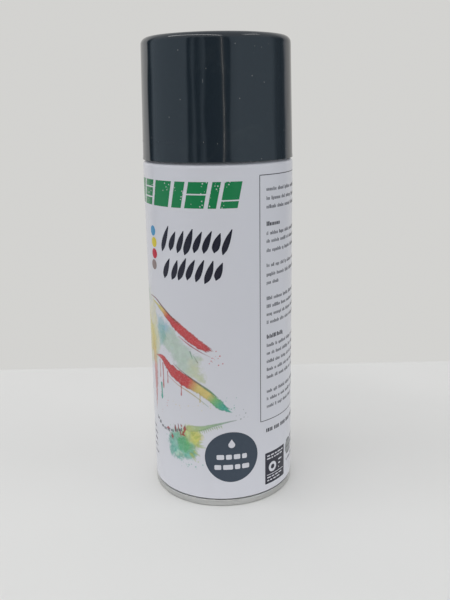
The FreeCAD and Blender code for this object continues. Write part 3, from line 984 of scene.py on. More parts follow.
# under the panel: one heavy row, a dark tile with light bars and a grey spot
ink("print_heavy_row", small_print(rng, s_text - 0.4, 33.6, panel_s1 - 2.0, 1.75, 0.78, 0.30, 0.9, 0.0), INK_BOLD)
b0, b1 = (35.2 + FACING) * K, (59.3 + FACING) * K
ink("print_dark_tile", [[rect(b0, 6.9, b1, 22.4, 0.35)]], INK_BOX)
tile = []
tile += words(rng, b0 + 1.1, 20.7, b1 - 1.0, 0.62, 1.0, 2.6, 0.55, 0.2)
tile += words(rng, b0 + 1.1, 19.3, b1 - 1.6, 0.62, 1.0, 2.6, 0.55, 0.2)
# three light bars of growing length beside a round mark
tile.append([disc(b0 + 4.6, 14.7, 2.45, 40), disc(b0 + 4.6, 14.7, 1.15, 32)])
tile.append([rect(b0 + 8.7, 16.3, b1 - 2.3, 16.95, 0.3)])
tile.append([rect(b0 + 8.7, 14.4, b1 - 3.4, 15.05, 0.3)])
tile.append([rect(b0 + 8.7, 12.5, b1 - 4.4, 13.15, 0.3)])
tile.append([rect(b0 + 1.0, 11.05, b1 - 1.0, 11.35, 0.1)])
tile += words(rng, b0 + 1.2, 9.9, b1 - 1.2, 0.55, 1.0, 2.4, 0.5, 0.2)
tile += words(rng, b0 + 1.2, 8.4, b1 - 3.2, 0.55, 1.0, 2.4, 0.5, 0.2)
ink("print_tile_marks", tile, INK_WHITE, lift=0.034, base=0.0)
ink("print_grey_spot", [[disc(*at(68.6, 19.4), 3.9, 48)]], mat_ink("ink_spot_look", tone(116, 118, 118), 0.08))

# shade disc: a colour sample with a drop and two rows of bars
dc = at(6.6, 24.0)
ink("print_shade_disc", [[disc(dc[0], dc[1], 12.05, 128)]], INK_SLATE)
marks = []
drop = []
for j in range(33):
    g = -math.pi / 2 + 2 * math.pi * j / 32
    r_ = 1.5
    k_ = max(0.0, math.sin(g)) ** 3
    drop.append((dc[0] + r_ * math.cos(g) * (1 - 0.55 * k_), dc[1] + 6.0 + r_ * math.sin(g) * (1 + 0.7 * k_)))
marks.append([drop[:-1]])
for z, ws in ((0.15, (3.3, 2.6, 2.9, 2.2)), (-4.75, (3.0, 4.4, 2.4, 3.3))):
    total = sum(ws) + 0.85 * (len(ws) - 1)
    s = dc[0] - total / 2
    for w in ws:
        marks.append([rect(s, dc[1] + z - 1.15, s + w, dc[1] + z + 1.15, 0.5, 4)])
        s += w + 0.85
ink("print_disc_marks", marks, INK_WHITE, lift=0.034, base=0.0)

# small print on a gentle curve beside the artwork, and a short column under it
curve = []
for j, (a, z) in enumerate([(-66.0, 35.6), (-62.6, 34.2), (-58.6, 33.2), (-54.6, 32.8), (-50.2, 32.9), (-46.0, 33.3), (-41.4, 34.0), (-37.0, 34.9)]):
    s, zz = at(a, z)
    for q in range(3):
        up = 0.5 if rng.rand() < 0.3 else 0.0
        curve.append([[(s + 0.66 * q, zz - 0.55), (s + 0.66 * q + 0.42, zz - 0.55), (s + 0.66 * q + 0.42, zz + 0.55 + up), (s + 0.66 * q, zz + 0.55 + up)]])
for j in range(5):
    curve += small_print(rng, (-78.0 + FACING) * K, 29.6 - 3.2 * j, (-69.2 + FACING + rng.uniform(-1, 2)) * K, 0.9, 0.36, 0.22, 0.6)
ink("print_curved_row", curve, INK_GREY)

# left flank and back: a second framed panel, a row of colour spots and the bare stripe of the side seam
l0, l1 = -171.0 * K, -96.0 * K
ink("print_left_frame", [[rect(l0 - wl, zb - wl, l1 + wl, zt + wl, 0.35, 4), rect(l0 + wl, zb + wl, l1 - wl, zt - wl, 0.12, 3)]], INK_LINE)
left_rows, left_heads = [], []
z = 140.2
for block in (3, 4, 5, 4, 4):
    left_heads += small_print(rng, l0 + 2.6, z, l0 + 2.6 + rng.uniform(9, 15), 1.30, 0.66, 0.26, 0.3)
    z -= 3.9
    for j in range(block):
        stop = l1 - 2.4 - rng.uniform(0, 4) - (rng.uniform(8, 18) if j == block - 1 else 0)
        left_rows += small_print(rng, l0 + 2.6, z, stop)
        z -= 3.6
    z -= 2.2
ink("print_left_rows", left_rows, INK_GREY)
ink("print_left_heads", left_heads, INK_BOLD)
colour_spots = {"red": INK_RED, "yellow": INK_YELLOW, "green": INK_GREEN, "blue": INK_BLUE, "stone": INK_STONE, "slate": INK_SLATE}
for j, (nm, mt) in enumerate(colour_spots.items()):
    s = l0 + 4.4 + j * 6.6
    ink("print_colour_spot_" + nm, [[disc(s, 28.6, 2.45, 48)]], mt)
ink("print_left_foot", small_print(rng, l0 + 2.0, 20.6, l1 - 4, 0.95, 0.36) + small_print(rng, l0 + 2.0, 17.4, l1 - 9, 0.95, 0.36)
    + small_print(rng, l0 + 2.0, 14.2, l1 - 6, 0.95, 0.36), INK_GREY)
r0 = 104.0 * K
ink("print_right_foot", small_print(rng, r0, 22.6, panel_s1 - 1, 0.95, 0.36) + small_print(rng, r0, 19.4, panel_s1 - 5, 0.95, 0.36)
    + small_print(rng, r0, 16.2, panel_s1 - 2, 0.95, 0.36) + small_print(rng, r0, 13.0, panel_s1 - 8, 0.95, 0.36), INK_GREY)
# generic marks for the right flank: three outlined squares
marks = []
for j in range(3):
    s = 152.0 * K + 0.0
    zc = 120.0 - 16.0 * j
    marks.append([rect(s, zc - 5.0, s + 10.0, zc + 5.0, 1.2, 5), rect(s + 0.7, zc - 4.3, s + 9.3, zc + 4.3, 0.8, 5)])
    marks.append([disc(s + 5.0, zc, 2.2 + 0.4 * j, 40)])
ink("print_right_marks", marks, INK_SLATE)


# side seam: unprinted stripe with the flat weld bead down its middle
def seam_piece():
    outline = []
    half, n = 2.6, 26
    vs, fs = [], []
    zs = [4.1, 4.3] + [4.3 + (150.0 - 4.3) * j / 40 for j in range(1, 40)] + [149.8, 150.0]
    cols = [-half + 2 * half * j / n for j in range(n + 1)]
    rows_ = []
    for zz in zs:
        row = []
        for c in cols:
            bead_h = 0.030 * max(0.0, 1 - (abs(c) / 1.05) ** 4)
            fade = min(1.0, (half - abs(c)) / 0.25)
            h = 0.006 + (bead_h + 0.004) * fade
            row.append(len(vs))
            vs.append(wrap(math.pi * R + c, zz, h))
        rows_.append(row)
    back = []
    for zz in zs:
        row = []
        for c in cols:
            row.append(len(vs))
            vs.append(wrap(math.pi * R + c, zz, -0.02))
        back.append(row)
    for i in range(len(zs) - 1):
        for j in range(n):
            fs.append((rows_[i][j], rows_[i][j + 1], rows_[i + 1][j + 1], rows_[i + 1][j]))
            fs.append((back[i][j], back[i + 1][j], back[i + 1][j + 1], back[i][j + 1]))
    for i in range(len(zs) - 1):
        fs.append((rows_[i][0], rows_[i + 1][0], back[i + 1][0], back[i][0]))
        fs.append((rows_[i][n], back[i][n], back[i + 1][n], rows_[i + 1][n]))
    for j in range(n):
        fs.append((rows_[0][j], back[0][j], back[0][j + 1], rows_[0][j + 1]))
        fs.append((rows_[-1][j], rows_[-1][j + 1], back[-1][j + 1], back[-1][j]))
    o = make_object("side_seam_stripe", vs, fs, mat_metal("side_seam_look", (0.52, 0.52, 0.50), 0.34, 700.0))
    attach(o, "container")
    return o


seam_piece()


# ------------------------------------------------------------------ watercolour artwork, painted on a fine grid
class Noise:
    def __init__(self, seed):
        self.t = np.random.RandomState(seed).rand(256, 256)

    def at(self, x, y):
        xi, yi = np.floor(x).astype(int), np.floor(y).astype(int)
        fx, fy = x - xi, y - yi
        fx, fy = fx * fx * (3 - 2 * fx), fy * fy * (3 - 2 * fy)
        t = self.t
        a, b = t[yi % 256, xi % 256], t[yi % 256, (xi + 1) % 256]
        c, d = t[(yi + 1) % 256, xi % 256], t[(yi + 1) % 256, (xi + 1) % 256]
        return (a * (1 - fx) + b * fx) * (1 - fy) + (c * (1 - fx) + d * fx) * fy

    def fbm(self, x, y, octaves=4):
        v, amp, tot = 0, 1.0, 0
        for o in range(octaves):
            v = v + amp * self.at(x * 2 ** o + 17.3 * o, y * 2 ** o + 5.1 * o)
            tot += amp
            amp *= 0.5
        return v / tot


GRID = 0.22
s_a, s_b = (-92.0 + FACING) * K, (24.0 + FACING) * K
z_a, z_b = 17.0, 98.0
ns, nz = int((s_b - s_a) / GRID) + 1, int((z_b - z_a) / GRID) + 1
S, Z = np.meshgrid(np.linspace(s_a, s_b, ns), np.linspace(z_a, z_b, nz))
colour = np.ones((nz, ns, 3)) * np.array(PAPER)
cover = np.zeros((nz, ns))


def smooth(e0, e1, x):
    t = np.clip((x - e0) / (e1 - e0), 0, 1)
    return t * t * (3 - 2 * t)


def over(alpha, rgb):
    global colour, cover
    rgb = np.asarray(rgb)
    if rgb.ndim == 1:
        rgb = np.ones((nz, ns, 3)) * rgb
    colour = colour * (1 - alpha[..., None]) + rgb * alpha[..., None]
    cover = 1 - (1 - cover) * (1 - alpha)


def along(points):
    """Nearest point on a smooth path: signed side distance, distance, length along it, total length."""
    path = smooth_path([(*at(p[0], p[1]), *p[2:]) for p in points], 7)
    best = np.full((nz, ns), 1e9)
    side = np.zeros((nz, ns))
    pos = np.zeros((nz, ns))
    run = 0.0
    for p, q in zip(path[:-1], path[1:]):
        dx, dz = q[0] - p[0], q[1] - p[1]
        length = math.hypot(dx, dz)
        if length < 1e-6:
            continue
        t = np.clip(((S - p[0]) * dx + (Z - p[1]) * dz) / length ** 2, 0, 1)
        ex, ez = S - (p[0] + dx * t), Z - (p[1] + dz * t)
        d = np.hypot(ex, ez)
        m = d < best
        best = np.where(m, d, best)
        side = np.where(m, np.sign(dx * ez - dz * ex) * d, side)
        pos = np.where(m, run + t * length, pos)
        run += length
    return side, best, pos, run


def paint_stroke(points, widths, colours, seed, soft=0.25, rag=0.5, dry=None, alpha=0.95, pool=0.25, var=0.18):
    """points (angle, z); widths and colours are given at shares of the length."""
    n = Noise(seed)
    side, d, pos, total = along(points)
    t = pos / total
    w = np.interp(t, [x[0] for x in widths], [x[1] for x in widths])
    wob = (n.fbm(S * 0.55, Z * 0.55) - 0.5) * 2 * rag + (n.fbm(S * 2.1 + 40, Z * 2.1) - 0.5) * rag * 0.8
    e = w - d + wob * np.minimum(1, w / 1.2)
    a = smooth(-soft, soft, e)
    if dry is not None:
        k = np.interp(t, [x[0] for x in dry], [x[1] for x in dry])
        streak = n.fbm(pos * 0.22 + 9, side * 3.4 + 3, 3)
        a = a * smooth(k - 0.12, k + 0.08, streak + 0.18)
        a = a * smooth(1.0, 0.96, t + (n.fbm(side * 2.6 + 50, side * 0 + 3, 3) - 0.5) * 0.16)
    rgb = np.stack([np.interp(t, [c[0] for c in colours], [c[1][i] for c in colours]) for i in range(3)], -1)
    v = 1 + (n.fbm(S * 0.35 + 70, Z * 0.35) - 0.5)[..., None] * 2 * var
    rgb = np.clip(rgb * v, 0, 0.9)
    rim = np.exp(-np.maximum(e, 0) ** 2 / 0.18)[..., None]
    rgb = rgb * (1 - pool * rim)
    over(a * alpha, rgb)


def poly_sdf(points):
    P = [at(*p) for p in points]
    n = len(P)
    d = np.full((nz, ns), 1e9)
    inside = np.zeros((nz, ns), bool)
    for i in range(n):
        (x0, y0), (x1, y1) = P[i], P[(i + 1) % n]
        dx, dy = x1 - x0, y1 - y0
        t = np.clip(((S - x0) * dx + (Z - y0) * dy) / (dx * dx + dy * dy), 0, 1)
        d = np.minimum(d, np.hypot(S - x0 - dx * t, Z - y0 - dy * t))
        cond = ((y0 <= Z) & (y1 > Z)) | ((y1 <= Z) & (y0 > Z))
        with np.errstate(divide="ignore", invalid="ignore"):
            xi = x0 + (Z - y0) * dx / (dy if abs(dy) > 1e-9 else 1e-9)
        inside ^= cond & (S < xi)
    return np.where(inside, d, -d)


def paint_wash(points, stops, seed, soft=1.2, rag=1.6, alpha=0.8, direction=(1, -1), var=0.2, pool=0.12, mottle=0.35):
    """A wet wash: colours run from one to the next along a direction, its edge bleeding out."""
    n = Noise(seed)
    sd = poly_sdf(points)
    wob = (n.fbm(S * 0.30, Z * 0.30) - 0.5) * 2 * rag + (n.fbm(S * 1.3 + 31, Z * 1.3 + 7) - 0.5) * rag
    e = sd + wob
    a = smooth(-soft, soft, e) * (1 - mottle * n.fbm(S * 0.5 + 11, Z * 0.5 + 3))
    P = [at(*p) for p in points]
    u = [p[0] * direction[0] + p[1] * direction[1] for p in P]
    t = (S * direction[0] + Z * direction[1] - min(u)) / (max(u) - min(u)) + (n.fbm(S * 0.22 + 5, Z * 0.22 + 9) - 0.5) * 0.5
    rgb = np.stack([np.interp(t, [c[0] for c in stops], [c[1][i] for c in stops]) for i in range(3)], -1)
    rgb = np.clip(rgb * (1 + (n.fbm(S * 0.8, Z * 0.8) - 0.5)[..., None] * 2 * var), 0, 0.9)
    rim = np.exp(-(e / max(0.4, soft * 0.5)) ** 2)[..., None]
    rgb = rgb * (1 - pool * rim)
    over(a * alpha, rgb)


def paint_dots(centre, spread, count, sizes, rgb, seed, alpha=0.85):
    r = np.random.RandomState(seed)
    for j in range(count):
        a = centre[0] + r.normal() * spread[0]
        z = centre[1] + r.normal() * spread[1]
        s, zz = at(a, z)
        rad = r.uniform(*sizes)
        over(smooth(-0.12, 0.12, rad - np.hypot(S - s, Z - zz)) * alpha, rgb)


RED = tone(162, 54, 55)
DEEP = tone(112, 40, 44)
PINK = tone(170, 110, 108)
TEAL = tone(52, 138, 120)
GREEN = tone(60, 136, 84)
BLUE = tone(96, 146, 162)
SAGE = tone(138, 160, 140)
OLIVE = tone(156, 164, 116)
OCHRE = tone(176, 158, 94)
YEL = tone(180, 174, 100)
BROWN = tone(92, 76, 54)
CREAM = tone(182, 178, 156)

# wet wash between the two sweeps, blue to green to olive
paint_wash([(-57, 82.0), (-47, 83.0), (-36, 79.0), (-25.0, 74.5), (-16.5, 68.0), (-13.4, 58.8), (-23.2, 60.6),
            (-34, 64.4), (-43.5, 68.4), (-52.5, 73.0)],
           [(0, BLUE), (0.30, SAGE), (0.62, SAGE), (0.85, OLIVE), (1, OLIVE)], 4, 1.6, 2.6, 0.74)
paint_wash([(-60, 86), (-51, 85.5), (-46.5, 77), (-56, 72)], [(0, BLUE), (1, TEAL)], 5, 1.0, 1.8, 0.55)
# flank washes that run on round the side
paint_wash([(-90, 94), (-76, 96), (-65, 92), (-59, 83), (-58, 71), (-64, 63), (-78, 60), (-91, 66)],
           [(0, SAGE), (0.35, CREAM), (0.65, YEL), (1, OLIVE)], 6, 1.6, 2.4, 0.66)
paint_wash([(-80, 79), (-66, 80), (-60, 74), (-64, 68.0), (-79, 67)], [(0, YEL), (1, OCHRE)], 7, 1.0, 1.6, 0.78)
# a loaded brush swung down the flank, yellow running to pink
paint_stroke([(-84, 88), (-74, 80), (-67.5, 69), (-65.6, 57), (-66.4, 46), (-68.0, 39)], [(0, 0.3), (0.2, 1.5), (0.5, 1.9), (0.75, 1.5), (1, 0.2)],
             [(0, YEL), (0.4, OCHRE), (0.6, PINK), (1, PINK)], 8, 0.3, 0.7, [(0, 0.1), (0.6, 0.1), (1, 0.5)], 0.82)
# upper sweep: one swing of a wide brush, its tail breaking into bristle marks
paint_stroke([(-66, 91.8), (-57, 90.4), (-47.5, 87.6), (-37.5, 84.0), (-27.0, 79.8), (-16.5, 76.0), (-5.5, 72.6)],
             [(0, 0.15), (0.15, 0.7), (0.35, 1.7), (0.6, 2.2), (0.8, 1.9), (1, 0.9)],
             [(0, YEL), (0.22, OCHRE), (0.34, RED), (0.9, RED), (1, DEEP)], 13, 0.20, 0.45, [(0, 0.0), (0.55, 0.08), (0.8, 0.36), (1, 0.58)])
paint_stroke([(-70, 93.4), (-60, 92.9), (-50.4, 90.2), (-41, 86.9), (-33, 83.8)], [(0, 0.12), (0.4, 0.34), (0.8, 0.26), (1, 0.08)],
             [(0, DEEP), (1, BROWN)], 11, 0.16, 0.2)
paint_stroke([(-34, 78.8), (-25, 75.6), (-15, 72.6), (-8.0, 70.8)], [(0, 0.10), (0.4, 0.30), (1, 0.06)], [(0, RED), (1, DEEP)], 14, 0.14, 0.2, [(0, 0.2), (1, 0.5)], 0.85)
paint_dots((-3.5, 70.6), (3.2, 1.8), 12, (0.12, 0.38), RED, 15)
# lower sweep: one long ribbon that turns from red through ochre to teal
paint_stroke([(-63, 66.6), (-54, 66.6), (-46.5, 64.0), (-38.5, 61.0), (-29.0, 58.8), (-19.0, 56.0), (-9.5, 52.4), (-1.0, 48.4), (7.0, 45.6)],
             [(0, 0.2), (0.14, 1.5), (0.30, 2.7), (0.48, 2.7), (0.62, 1.9), (0.76, 1.8), (0.88, 2.0), (1, 0.5)],
             [(0, PINK), (0.12, RED), (0.50, RED), (0.60, OCHRE), (0.72, OCHRE), (0.80, tone(96, 146, 92)), (0.90, TEAL), (1, TEAL)], 21, 0.22, 0.6,
             [(0, 0.1), (0.4, 0.0), (0.6, 0.16), (0.8, 0.10), (0.92, 0.32), (1, 0.55)])
paint_stroke([(-40, 65.6), (-31, 62.6), (-21, 59.4), (-11, 55.9), (-3, 52.2)], [(0, 0.08), (0.5, 0.34), (0.8, 0.45), (1, 0.1)], [(0, DEEP), (0.5, BROWN), (1, GREEN)], 26, 0.16, 0.25, None, 0.85)
paint_stroke([(-47, 59.4), (-36, 56.2), (-26, 53.9), (-16.5, 50.6), (-9, 47.2)], [(0, 0.08), (0.5, 0.26), (1, 0.06)], [(0, RED), (0.6, OCHRE), (1, TEAL)], 28, 0.14, 0.2, [(0, 0.2), (1, 0.4)], 0.85)
# drips that ran from the ribbon before it dried
for a_, top_, low_, w_, c_ in ((-53.2, 64.0, 52.4, 0.52, RED), (-47.4, 61.0, 55.6, 0.36, RED), (-57.4, 65.0, 56.8, 0.42, PINK), (-33.4, 57.6, 51.6, 0.34, RED),
                               (-17.4, 54.4, 49.8, 0.30, OCHRE), (-56.2, 54.0, 47.0, 0.85, TEAL)):
    paint_stroke([(a_, top_), (a_ + 0.25, (top_ + low_) / 2), (a_, low_)], [(0, w_ * 0.8), (0.6, w_ * 0.55), (0.9, w_), (1, w_ * 0.6)], [(0, c_), (1, c_)],
                 int(-a_ * 10), 0.13, 0.12, None, 0.88)
# dark flecks in the wash
paint_stroke([(-24.4, 72.6), (-22.6, 69.6)], [(0, 0.30), (1, 0.12)], [(0, tone(90, 120, 104)), (1, GREEN)], 16, 0.14, 0.15, None, 0.75)
paint_stroke([(-21.4, 70.8), (-18.4, 68.0)], [(0, 0.14), (1, 0.2)], [(0, GREEN), (1, BROWN)], 17, 0.14, 0.1, None, 0.6)
# splash under the sweeps, its rim thrown out in rays, with a long flick to the right
paint_wash([(-49.6, 27.4), (-45.0, 32.6), (-38.0, 34.0), (-33.0, 36.6), (-26.5, 38.0), (-19.0, 37.2), (-16.6, 33.4),
            (-18.4, 29.2), (-20.2, 25.0), (-26.4, 21.4), (-36.0, 20.4), (-46.0, 22.8)],
           [(0, TEAL), (0.35, tone(82, 150, 130)), (0.6, GREEN), (0.8, tone(148, 164, 84)), (1, YEL)], 31, 1.5, 2.4, 0.90, (1, 0.9), 0.3, 0.10, 0.30)
paint_wash([(-40.0, 30.4), (-31.0, 32.6), (-26.0, 28.4), (-30.0, 24.0), (-38.0, 25.0)], [(0, GREEN), (1, tone(66, 146, 90))], 32, 0.9, 1.3, 0.7)
paint_wash([(-28.0, 37.0), (-18.8, 36.8), (-18.0, 32.0), (-21.4, 28.0), (-26.0, 31.0)], [(0, YEL), (1, tone(170, 166, 70))], 33, 0.8, 1.2, 0.75)
paint_wash([(-44.0, 24.2), (-37.5, 25.4), (-33.5, 22.6), (-41.0, 21.6)], [(0, tone(146, 190, 180)), (1, CREAM)], 34, 0.7, 1.0, 0.65)
r_ = np.random.RandomState(35)
cs, cz = at(-33.0, 29.4)
for j in range(24):
    g = 2 * math.pi * j / 24 + r_.uniform(-0.16, 0.16)
    right_side = math.cos(g) > 0.15
    r0_, r1_ = r_.uniform(6.2, 7.2), (r_.uniform(8.4, 11.0) if right_side else r_.uniform(7.8, 9.6))
    e0, e1 = (cs + 1.12 * r0_ * math.cos(g), cz + 0.92 * r0_ * math.sin(g)), (cs + 1.12 * r1_ * math.cos(g), cz + 0.92 * r1_ * math.sin(g))
    c_ = tone(150, 164, 88) if right_side else (TEAL if math.sin(g) < 0.3 else SAGE)
    paint_stroke([(e0[0] / K - FACING, e0[1]), (e1[0] / K - FACING, e1[1])], [(0, 0.62), (1, 0.10)], [(0, c_), (1, c_)], 300 + j, 0.34, 0.3, None,
                 0.62 if right_side else 0.38)
    if j % 3 == 0 and math.cos(g) < 0.8:
        r2_ = r1_ + r_.uniform(0.9, 2.2)
        q = np.hypot(S - cs - 1.12 * r2_ * math.cos(g), Z - cz - 0.92 * r2_ * math.sin(g))
        over(smooth(-0.12, 0.12, r_.uniform(0.14, 0.34) - q) * 0.7, c_)
for j in range(9):
    a_, z_ = -37.0 + r_.normal() * 5.0, 33.6 + r_.normal() * 2.2
    t_, l_ = r_.uniform(0, math.pi), r_.uniform(0.7, 2.0)
    paint_stroke([(a_ - l_ * math.cos(t_) / K, z_ - l_ * math.sin(t_)), (a_, z_ + 0.3), (a_ + l_ * math.cos(t_) / K, z_ + l_ * math.sin(t_))],
                 [(0, 0.12), (0.5, r_.uniform(0.35, 0.8)), (1, 0.10)], [(0, RED), (1, DEEP)], 90 + j, 0.18, 0.4, [(0, 0.1), (1, 0.4)], 0.85)
paint_stroke([(-27.0, 36.6), (-16.4, 37.7), (-5.4, 39.6), (4.6, 41.0), (12.0, 41.6)], [(0, 1.5), (0.25, 1.05), (0.6, 0.5), (0.85, 0.2), (1, 0.06)],
             [(0, OLIVE), (0.3, tone(128, 156, 108)), (0.7, tone(116, 144, 120)), (1, tone(92, 108, 100))], 36, 0.22, 0.3, [(0, 0.0), (1, 0.2)], 0.85)
for a_, z_, w_ in ((14.0, 41.9, 0.26), (16.6, 42.6, 0.19), (18.0, 44.4, 0.24), (13.2, 43.8, 0.13), (19.6, 42.4, 0.12), (16.2, 46.2, 0.16), (10.4, 43.6, 0.15)):
    s_, zz_ = at(a_, z_)
    over(smooth(-0.10, 0.10, w_ - np.hypot(S - s_, Z - zz_)) * 0.85, tone(84, 96, 92))
for j in range(11):
    a_ = -18.4 + 1.7 * j
    z_ = 36.4 + 0.27 * j
    paint_stroke([(a_, z_), (a_ + 0.9, z_ - r_.uniform(0.9, 2.4) * (1 - 0.05 * j))], [(0, 0.34), (1, 0.06)], [(0, tone(124, 154, 110)), (1, OLIVE)], 400 + j, 0.12, 0.12, None, 0.75)
paint_dots((-33, 18.9), (9, 0.8), 12, (0.12, 0.4), TEAL, 37, 0.6)
paint_dots((-48, 76), (6, 4.0), 12, (0.1, 0.3), SAGE, 38, 0.6)
paint_dots((-58, 46), (7, 5.0), 14, (0.1, 0.34), PINK, 39, 0.6)
paint_dots((-30, 47), (9, 3.2), 14, (0.1, 0.3), OCHRE, 40, 0.5)
paint_dots((4, 50.5), (4.5, 2.2), 12, (0.1, 0.3), TEAL, 41, 0.7)

# the shade disc stays clear of paint
cover *= smooth(12.6, 13.4, np.hypot(S - dc[0], Z - dc[1]))

# keep only the cells with paint, and close them into one thin film
cell = np.zeros((nz - 1, ns - 1), bool)
wet = cover > 0.006
for dz_ in (0, 1):
    for ds_ in (0, 1):
        cell |= wet[dz_:nz - 1 + dz_, ds_:ns - 1 + ds_]
grown = cell.copy()
grown[1:] |= cell[:-1]
grown[:-1] |= cell[1:]
grown[:, 1:] |= grown[:, :-1].copy()
grown[:, :-1] |= grown[:, 1:].copy()
# a cell that touches another only at its corner would pinch the film, so the gap is filled
for _ in range(6):
    a, b, c, d = grown[:-1, :-1], grown[:-1, 1:], grown[1:, :-1], grown[1:, 1:]
    p = a & d & ~b & ~c
    q = b & c & ~a & ~d
    if not (p.any() or q.any()):
        break
    grown[:-1, 1:] |= p
    grown[:-1, :-1] |= q
ids = np.full((nz, ns), -1)
used = np.zeros((nz, ns), bool)
used[:-1, :-1] |= grown
used[1:, :-1] |= grown
used[:-1, 1:] |= grown
used[1:, 1:] |= grown
ids[used] = np.arange(used.sum())
n_top = int(used.sum())
sv, zv = S[used], Z[used]
verts = [wrap(s, z, 0.020) for s, z in zip(sv, zv)] + [wrap(s, z, -0.012) for s, z in zip(sv, zv)]
faces = []
H, W = grown.shape
for i, j in zip(*np.nonzero(grown)):
    a, b, c, d = int(ids[i, j]), int(ids[i, j + 1]), int(ids[i + 1, j + 1]), int(ids[i + 1, j])
    faces.append((a, b, c, d))
    faces.append((a + n_top, d + n_top, c + n_top, b + n_top))
    if i == 0 or not grown[i - 1, j]:
        faces.append((b, a, a + n_top, b + n_top))
    if i == H - 1 or not grown[i + 1, j]:
        faces.append((d, c, c + n_top, d + n_top))
    if j == 0 or not grown[i, j - 1]:
        faces.append((a, d, d + n_top, a + n_top))
    if j == W - 1 or not grown[i, j + 1]:
        faces.append((c, b, b + n_top, c + n_top))
me = bpy.data.meshes.new("print_watercolour")
me.from_pydata(verts, [], faces)
me.validate()
col = me.color_attributes.new("ink", "FLOAT_COLOR", "POINT")
rgb = np.ones((2 * n_top, 4), np.float32)
rgb[:n_top, :3] = colour[used]
rgb[n_top:, :3] = colour[used]
col.data.foreach_set("color", rgb.ravel())
me.shade_smooth()
me.set_sharp_from_angle(angle=math.radians(40))
me.materials.append(mat_art())
art = bpy.data.objects.new("print_watercolour", me)
scene.collection.objects.link(art)
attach(art, "container")


# ------------------------------------------------------------------ floor, light and camera
FLOOR_LO, FLOOR_HI = (0.790, 0.784, 0.766), (0.822, 0.816, 0.798)
BACK_TONE = (0.651, 0.648, 0.632)


def stage_floor():
    m, nt, b = new_mat("floor_look")
    oc = obj_coords(nt)
    a = math.radians(FACING)

    def along_floor(v):
        n = node(nt, "ShaderNodeVectorMath", operation="DOT_PRODUCT")
        n.inputs[1].default_value = v
        link(nt, oc, n.inputs[0])
        return n.outputs["Value"]

    deep = along_floor((-math.sin(a), math.cos(a), 0))
    link(nt, mix_rgb(nt, noise(nt, oc, 9.0, 3.0), FLOOR_LO, FLOOR_HI), b.inputs["Base Color"])
    b.inputs["Roughness"].default_value = 0.75
    b.inputs["Specular IOR Level"].default_value = 0.15
    link(nt, bump(nt, noise(nt, oc, 400.0, 3.0), 0.05, 0.0002), b.inputs["Normal"])
    out = next(n for n in nt.nodes if n.type == "OUTPUT_MATERIAL")
    # the backdrop begins a hand's width behind the object
    back = math_node(nt, "MULTIPLY", math_node(nt, "SUBTRACT", deep, 0.1455), 330.0, clamp=True)
    far = node(nt, "ShaderNodeVectorMath", operation="LENGTH")
    link(nt, oc, far.inputs[0])
    fade = math_node(nt, "MULTIPLY", math_node(nt, "SUBTRACT", far.outputs["Value"], 0.26), 1.25, clamp=True)
    fade = math_node(nt, "SMOOTH_MIN", fade, 1.0, 0.3)
    back = math_node(nt, "MAXIMUM", back, fade)
    wall = node(nt, "ShaderNodeEmission")
    wall.inputs[0].default_value = (*BACK_TONE, 1)
    two = node(nt, "ShaderNodeMixShader")
    link(nt, back, two.inputs[0])
    link(nt, b.outputs[0], two.inputs[1])
    link(nt, wall.outputs[0], two.inputs[2])
    # gloss sees only the near part of the floor, as on a small table
    lp = node(nt, "ShaderNodeLightPath")
    skip = math_node(nt, "MULTIPLY", math_node(nt, "GREATER_THAN", far.outputs["Value"], 0.55), lp.outputs["Is Glossy Ray"])
    # open from below, so the underside of the can is seen
    geo = node(nt, "ShaderNodeNewGeometry")
    skip = math_node(nt, "MAXIMUM", skip, geo.outputs["Backfacing"])
    # and open right under the base, inside the ring the can stands on, so the dome isn't black
    skip = math_node(nt, "MAXIMUM", skip, math_node(nt, "LESS_THAN", far.outputs["Value"], 0.0306))
    clear = node(nt, "ShaderNodeBsdfTransparent")
    last = node(nt, "ShaderNodeMixShader")
    link(nt, skip, last.inputs[0])
    link(nt, two.outputs[0], last.inputs[1])
    link(nt, clear.outputs[0], last.inputs[2])
    link(nt, last.outputs[0], out.inputs[0])
    me = bpy.data.meshes.new("floor")
    e = 6.0
    me.from_pydata([(-e, -e, -0.00004), (e, -e, -0.00004), (e, e, -0.00004), (-e, e, -0.00004)], [], [(0, 1, 2, 3)])
    me.materials.append(m)
    o = bpy.data.objects.new("floor", me)
    scene.collection.objects.link(o)


stage_floor()

# a pale room seen as soft light: bright above, walls at the sides and behind, a darker gap in front
world = bpy.data.worlds.new("room")
scene.world = world
world.use_nodes = True
nt = world.node_tree
nt.nodes.clear()
tc = node(nt, "ShaderNodeTexCoord")
a = math.radians(FACING)


def dot_world(v):
    n = node(nt, "ShaderNodeVectorMath", operation="DOT_PRODUCT")
    n.inputs[1].default_value = v
    link(nt, tc.outputs["Generated"], n.inputs[0])
    return n.outputs["Value"]


across = dot_world((math.cos(a), math.sin(a), 0))
front = dot_world((math.sin(a), -math.cos(a), 0))
up = dot_world((0, 0, 1))
turn = math_node(nt, "ARCTAN2", across, front)
fac = math_node(nt, "ADD", math_node(nt, "MULTIPLY", turn, 1 / (2 * math.pi)), 0.5)
WALL = (0.62, 0.61, 0.59)
SIDE = (0.50, 0.59, 0.665)


def lvl(k):
    return tuple(c * k for c in SIDE)


